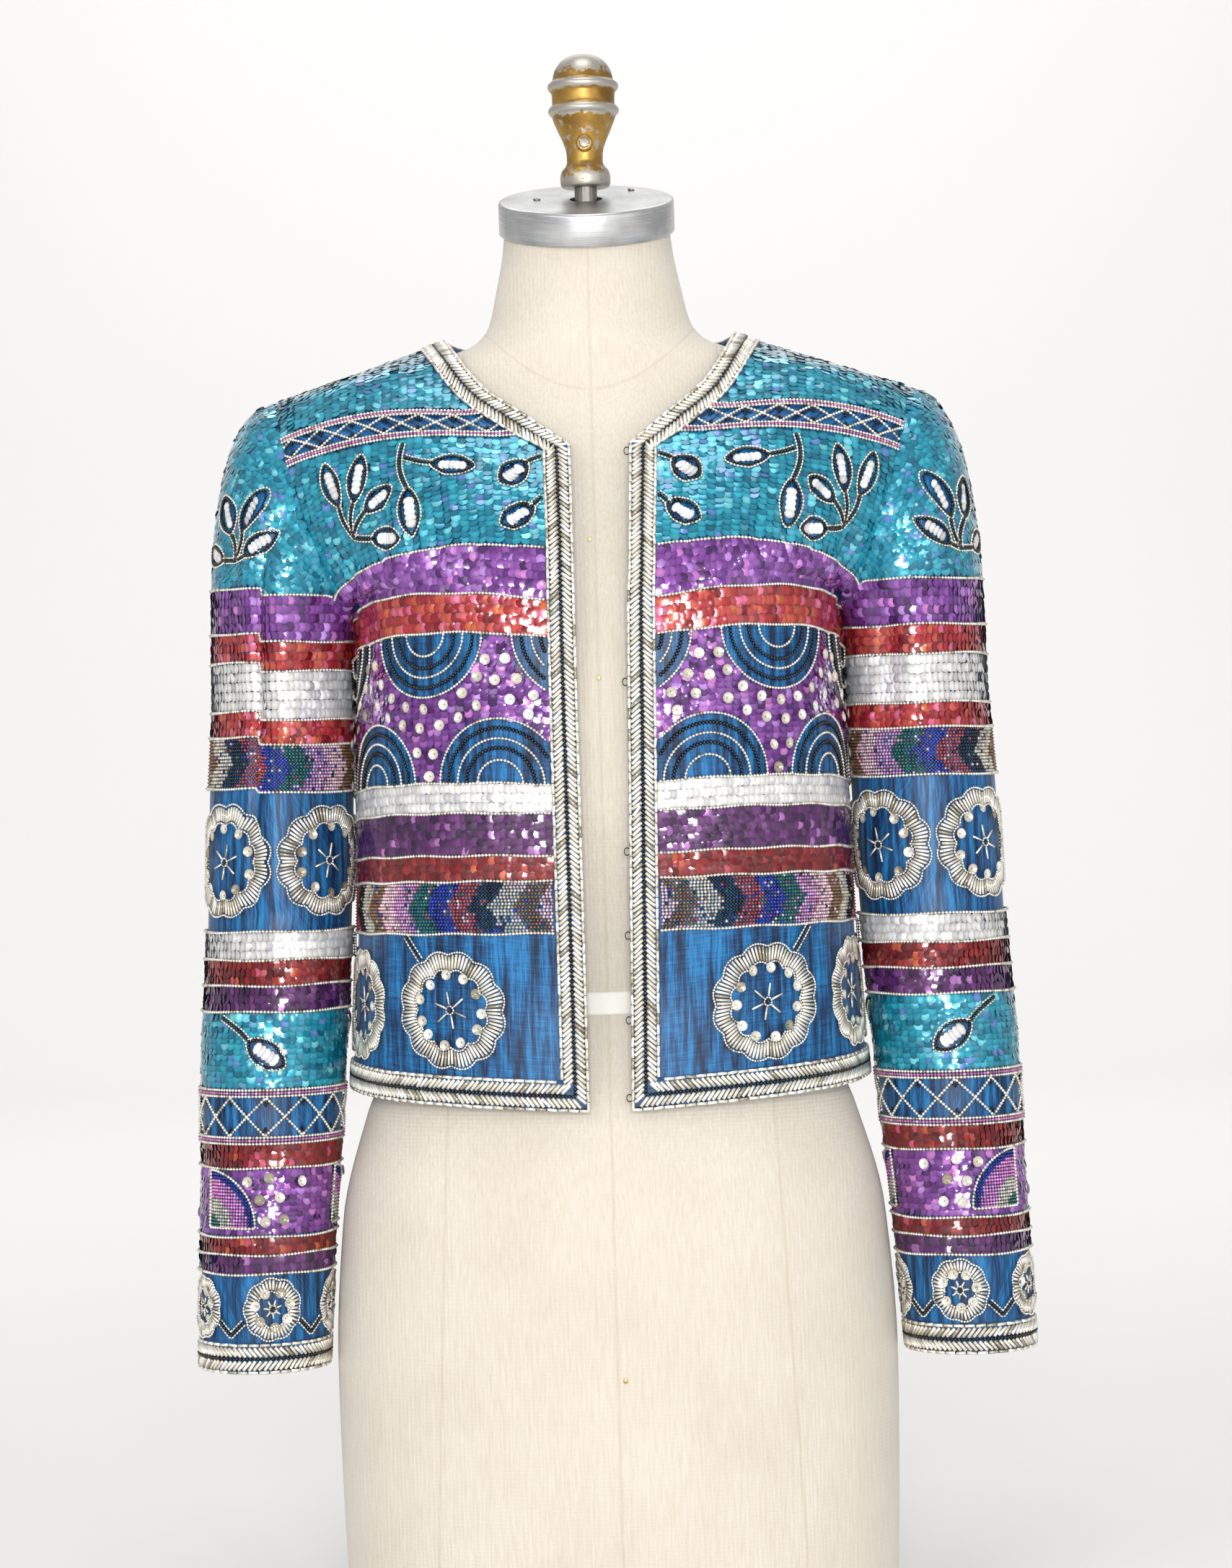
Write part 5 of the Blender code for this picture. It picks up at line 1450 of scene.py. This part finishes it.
# Leaves on stems over the teal: lapped white sequins in a black and a silver outline, on stems of
# beads from a common root.
for panel in PLACES:
    for cs, ch, long, wide, angle, root_s, root_h in zip(*LEAVES[kind_of(panel)].values()):
        a = math.radians(angle)
        turn = np.linspace(0, 2 * math.pi, 60)
        for grow, palette, store, bead in ((0.0, BLACK, dark, 0.0011), (0.0017, SILVER, silver, 0.0009)):
            x = (long + grow) * np.cos(turn)
            y = (wide + grow) * np.sin(turn) * (1 - 0.30 * np.abs(np.cos(turn)) ** 2)
            s = cs + x * math.cos(a) - y * math.sin(a)
            h = ch + x * math.sin(a) + y * math.cos(a)
            string(store, panel, s, h, palette, radius=bead, lift=0.0018)
        fill = np.arange(-0.5, 0.51, 0.25) * long
        s, h = cs + fill * math.cos(a), ch + fill * math.sin(a)
        placed = seated(panel, s, h, math.cos(a), math.sin(a), 0.0012)
        set_down(pale, panel, tumbled(placed, 0.22, 0.05), (wide * 0.62, 0.0026, 0.0026), WHITE)
        ends = np.array([(cs + k * long * math.cos(a), ch + k * long * math.sin(a)) for k in (-1, 1)])
        near = ends[np.argmin(np.hypot(ends[:, 0] - root_s, ends[:, 1] - root_h))]
        t = np.linspace(0, 1, 24)
        bend = 0.10 * math.hypot(near[0] - root_s, near[1] - root_h) * np.sin(math.pi * t)
        stem(panel, root_s + (near[0] - root_s) * t + bend, root_h + (near[1] - root_h) * t)

# Pearl white foil is soft and milky, with no colour of its own.
white_foil = tinted("pearl_white_sequin", Roughness=0.3, Metallic=0.0, Coat_Weight=0.5)
for panel in PLACES:
    strew("silver_beads_" + panel, BEAD, silver[panel], bead_glass, "bugle_border")
    strew("black_beads_" + panel, BEAD, dark[panel], jet_glass, "bugle_border")
    strew("bugles_" + panel, BUGLE, bugles[panel], bead_glass, "bugle_border")
    strew("silver_cups_" + panel, CUP, cups[panel], bead_glass, "bugle_border")
    node_slot = "sequinned_silk_" + kind_of(panel)
    strew("white_leaf_sequins_" + panel, SEQUIN, pale[panel], white_foil, node_slot)

# The edging on every free edge: a narrow silk tape worked in a herringbone of 7 mm silver bugles on
# both sides of a line of black beads, with a line of bugles along each rim. It is mitred at the hem's
# corners, and turns with the neckline.
EDGING_WIDTH = 0.017
TAPE_TOP, TAPE_UNDER, BUGLE_LIFT = 0.0007, 0.0003, 0.0015
# Its lines: share of the width, spacing, half length, radius, slant from the rim in degrees, colours.
EDGING_LINES = (
    (0.050, 0.0062, 0.0029, 0.00105, 90, SILVER),
    (0.275, 0.0030, 0.0035, 0.00115, 42, SILVER),
    (0.490, 0.0021, 0.0016, 0.00135, 90, BLACK),
    (0.705, 0.0030, 0.0035, 0.00115, -42, SILVER),
    (0.930, 0.0062, 0.0029, 0.00105, 90, SILVER),
)


def edging(name, strips, stands_for):
    """A tape and its bugles on strips of cloth.

    A strip is points by station and across, the directions out of them, the tape's first station, how
    much its start slants for a mitre, and whether it goes all round.
    """
    tapes, work, line = [], [], []
    for points, out, first, mitre, around in strips:
        skin, faced = points[first:], out[first:]
        down, across = skin.shape[:2]
        uv = np.stack(np.meshgrid(np.linspace(0, EDGING_WIDTH, across), np.arange(down) * 0.004), -1)
        if around:
            skin, faced, uv = (grid.transpose(1, 0, 2) for grid in (skin, faced, uv))
            points, out = np.concatenate([points, points[:1]]), np.concatenate([out, out[:1]])
        tapes.append(shell(name, skin + faced * TAPE_TOP, skin + faced * TAPE_UNDER, uv, around))
        run = walked(points[:, points.shape[1] // 2])
        for across_at, pitch, half, radius, slant, palette in EDGING_LINES:
            count = int(run[-1] / pitch)
            at = (np.arange(count) + 0.5) * run[-1] / count
            i = np.interp(at, run, np.arange(len(run)))
            j = np.full(count, across_at * (points.shape[1] - 1))
            spot, facing = skin_at(points, out, i, j)
            length_way = look_up(points, i + 0.5, j, False) - look_up(points, i - 0.5, j, False)
            length_way = unit(length_way - facing * (length_way * facing).sum(-1, keepdims=True))
            cross_way = np.cross(facing, length_way)
            toward_inner = look_up(points, i, j + 1, False) - look_up(points, i, j - 1, False)
            cross_way *= np.sign((cross_way * toward_inner).sum(-1, keepdims=True))
            tilt = math.radians(slant) + rng.normal(0, 0.05, count)[:, None]
            ahead = cross_way * np.cos(tilt) + length_way * np.sin(tilt)
            axes = np.stack([np.cross(ahead, facing), ahead, facing], axis=1)
            kept = at >= across_at * mitre
            tint = choose(rng, int(kept.sum()), *palette)
            store = line if palette is BLACK else work
            spot = spot + facing * BUGLE_LIFT
            store.append((spot[kept], axes[kept], (radius, half, radius), tint))
    joined = bmesh.new()
    for tape in tapes:
        joined.from_mesh(tape)
    joined.to_mesh(tapes[0])
    joined.free()
    piece = show(name + "_tape", tapes[0], silk, "bugle_border", stands_for)
    strew(name + "_bugles", BUGLE, work, bead_glass, "bugle_border")
    strew(name + "_black_line", BEAD, line, jet_glass, "bugle_border")


widths = np.linspace(0, 1, 7)
hem_rows = widths * 0.066 / 2 * (len(ROWS) - 1)
for side, grid, normals, flip in FRONTS:
    columns = EDGING_WIDTH / lengths(grid)[:, None] * widths * (len(SHARES) - 1)
    edge = skin_at(grid, normals, ROW_NUMBERS[:, None], columns, flip=flip)
    hem = skin_at(grid, normals, hem_rows, np.arange(len(SHARES), dtype=float)[:, None], flip=flip)
    edging(
        f"edging_front_{side}", [(*edge, 6, 0.0193, False), (*hem, 0, 0.0170, False)],
        f"border_front_{side}",
    )

columns = np.arange(whole_back.shape[1], dtype=float)[:, None]
hem = skin_at(whole_back, whole_normals, hem_rows, columns)
edging(
    "edging_back_hem", [(*hem, 0, 0, False)],
    "border_back_hem",
)

for side, flip in SIDES:
    p = PLACES["sleeve_" + side]
    cuff_rows = np.interp(0.157 + widths * 0.0185, p["levels"], np.arange(len(p["levels"])))
    columns = np.arange(p["grid"].shape[1], dtype=float)[:, None]
    cuff = skin_at(p["grid"], p["normals"], cuff_rows, columns, True, flip)
    edging(
        f"edging_cuff_{side}", [(*cuff, 0, 0, True)],
        f"border_cuff_{side}",
    )

# The back neckline's edging is laid out square to the neckline, on the back's own surface.
upper = whole_back[100:]
upper_cells = cells_of(*upper.shape[:2]).tolist()
surface_tree = BVHTree.FromPolygons([tuple(q) for q in upper.reshape(-1, 3)], upper_cells)
points, out = [], []
for station in np.linspace(-1, 1, 73):
    angle = abs(station) * math.pi / 2
    half = np.array([math.copysign(1, station), 1, 1])
    across, behind = math.sin(angle), math.cos(angle)
    aim = [NECK_HALF * across, NECK_Y + NECK_BEHIND * behind, NECK_SIDE_Z - NECK_DIP * behind]
    aim = np.array(aim) * half
    away = np.array([across / NECK_HALF, behind / NECK_BEHIND, 0]) * half
    line, faced = [], []
    for _ in widths:
        near, normal, *_ = surface_tree.find_nearest(tuple(aim))
        normal = np.array(normal) * (1 if normal[2] > 0 else -1)
        line.append(np.array(near))
        faced.append(normal)
        aim = line[-1] + unit(away - normal * (away @ normal)) * (EDGING_WIDTH / 6)
    points.append(line)
    out.append(faced)
edging(
    "edging_back_neck", [(np.array(points), unit(np.array(out)), 0, 0, False)],
    "border_back_neck",
)

# Six loops of black silk thread, 4 by 6 mm, stand off the wearer's left front edge to take hooks.
# The thread is dull black.
thread, tree, surface = new_finish("black_silk_thread", Roughness=0.6)
surface.inputs["Base Color"].default_value = colour("17171B")
for number, z in enumerate((0.7000, 0.5630, 0.4645, 0.4154, 0.3658, 0.3204)):
    row = np.interp(z, left_grid[:, 0, 2], ROW_NUMBERS)
    edge = look_up(left_grid, np.array([row]), np.array([0.0]), False)[0]
    bpy.ops.mesh.primitive_torus_add(
        major_radius=0.0022, minor_radius=0.00035, major_segments=20, minor_segments=8
    )
    loop = bpy.context.object
    loop.name = f"thread_loop_{number}"
    loop_spot = tuple(edge + (-0.0012, 0.0006, 0))
    loop.data.transform(Matrix.LocRotScale(loop_spot, Euler((FORWARD, 0, 0)), (0.75, 1, 1.3)))
    bpy.ops.object.shade_smooth()
    place_small(loop, thread)
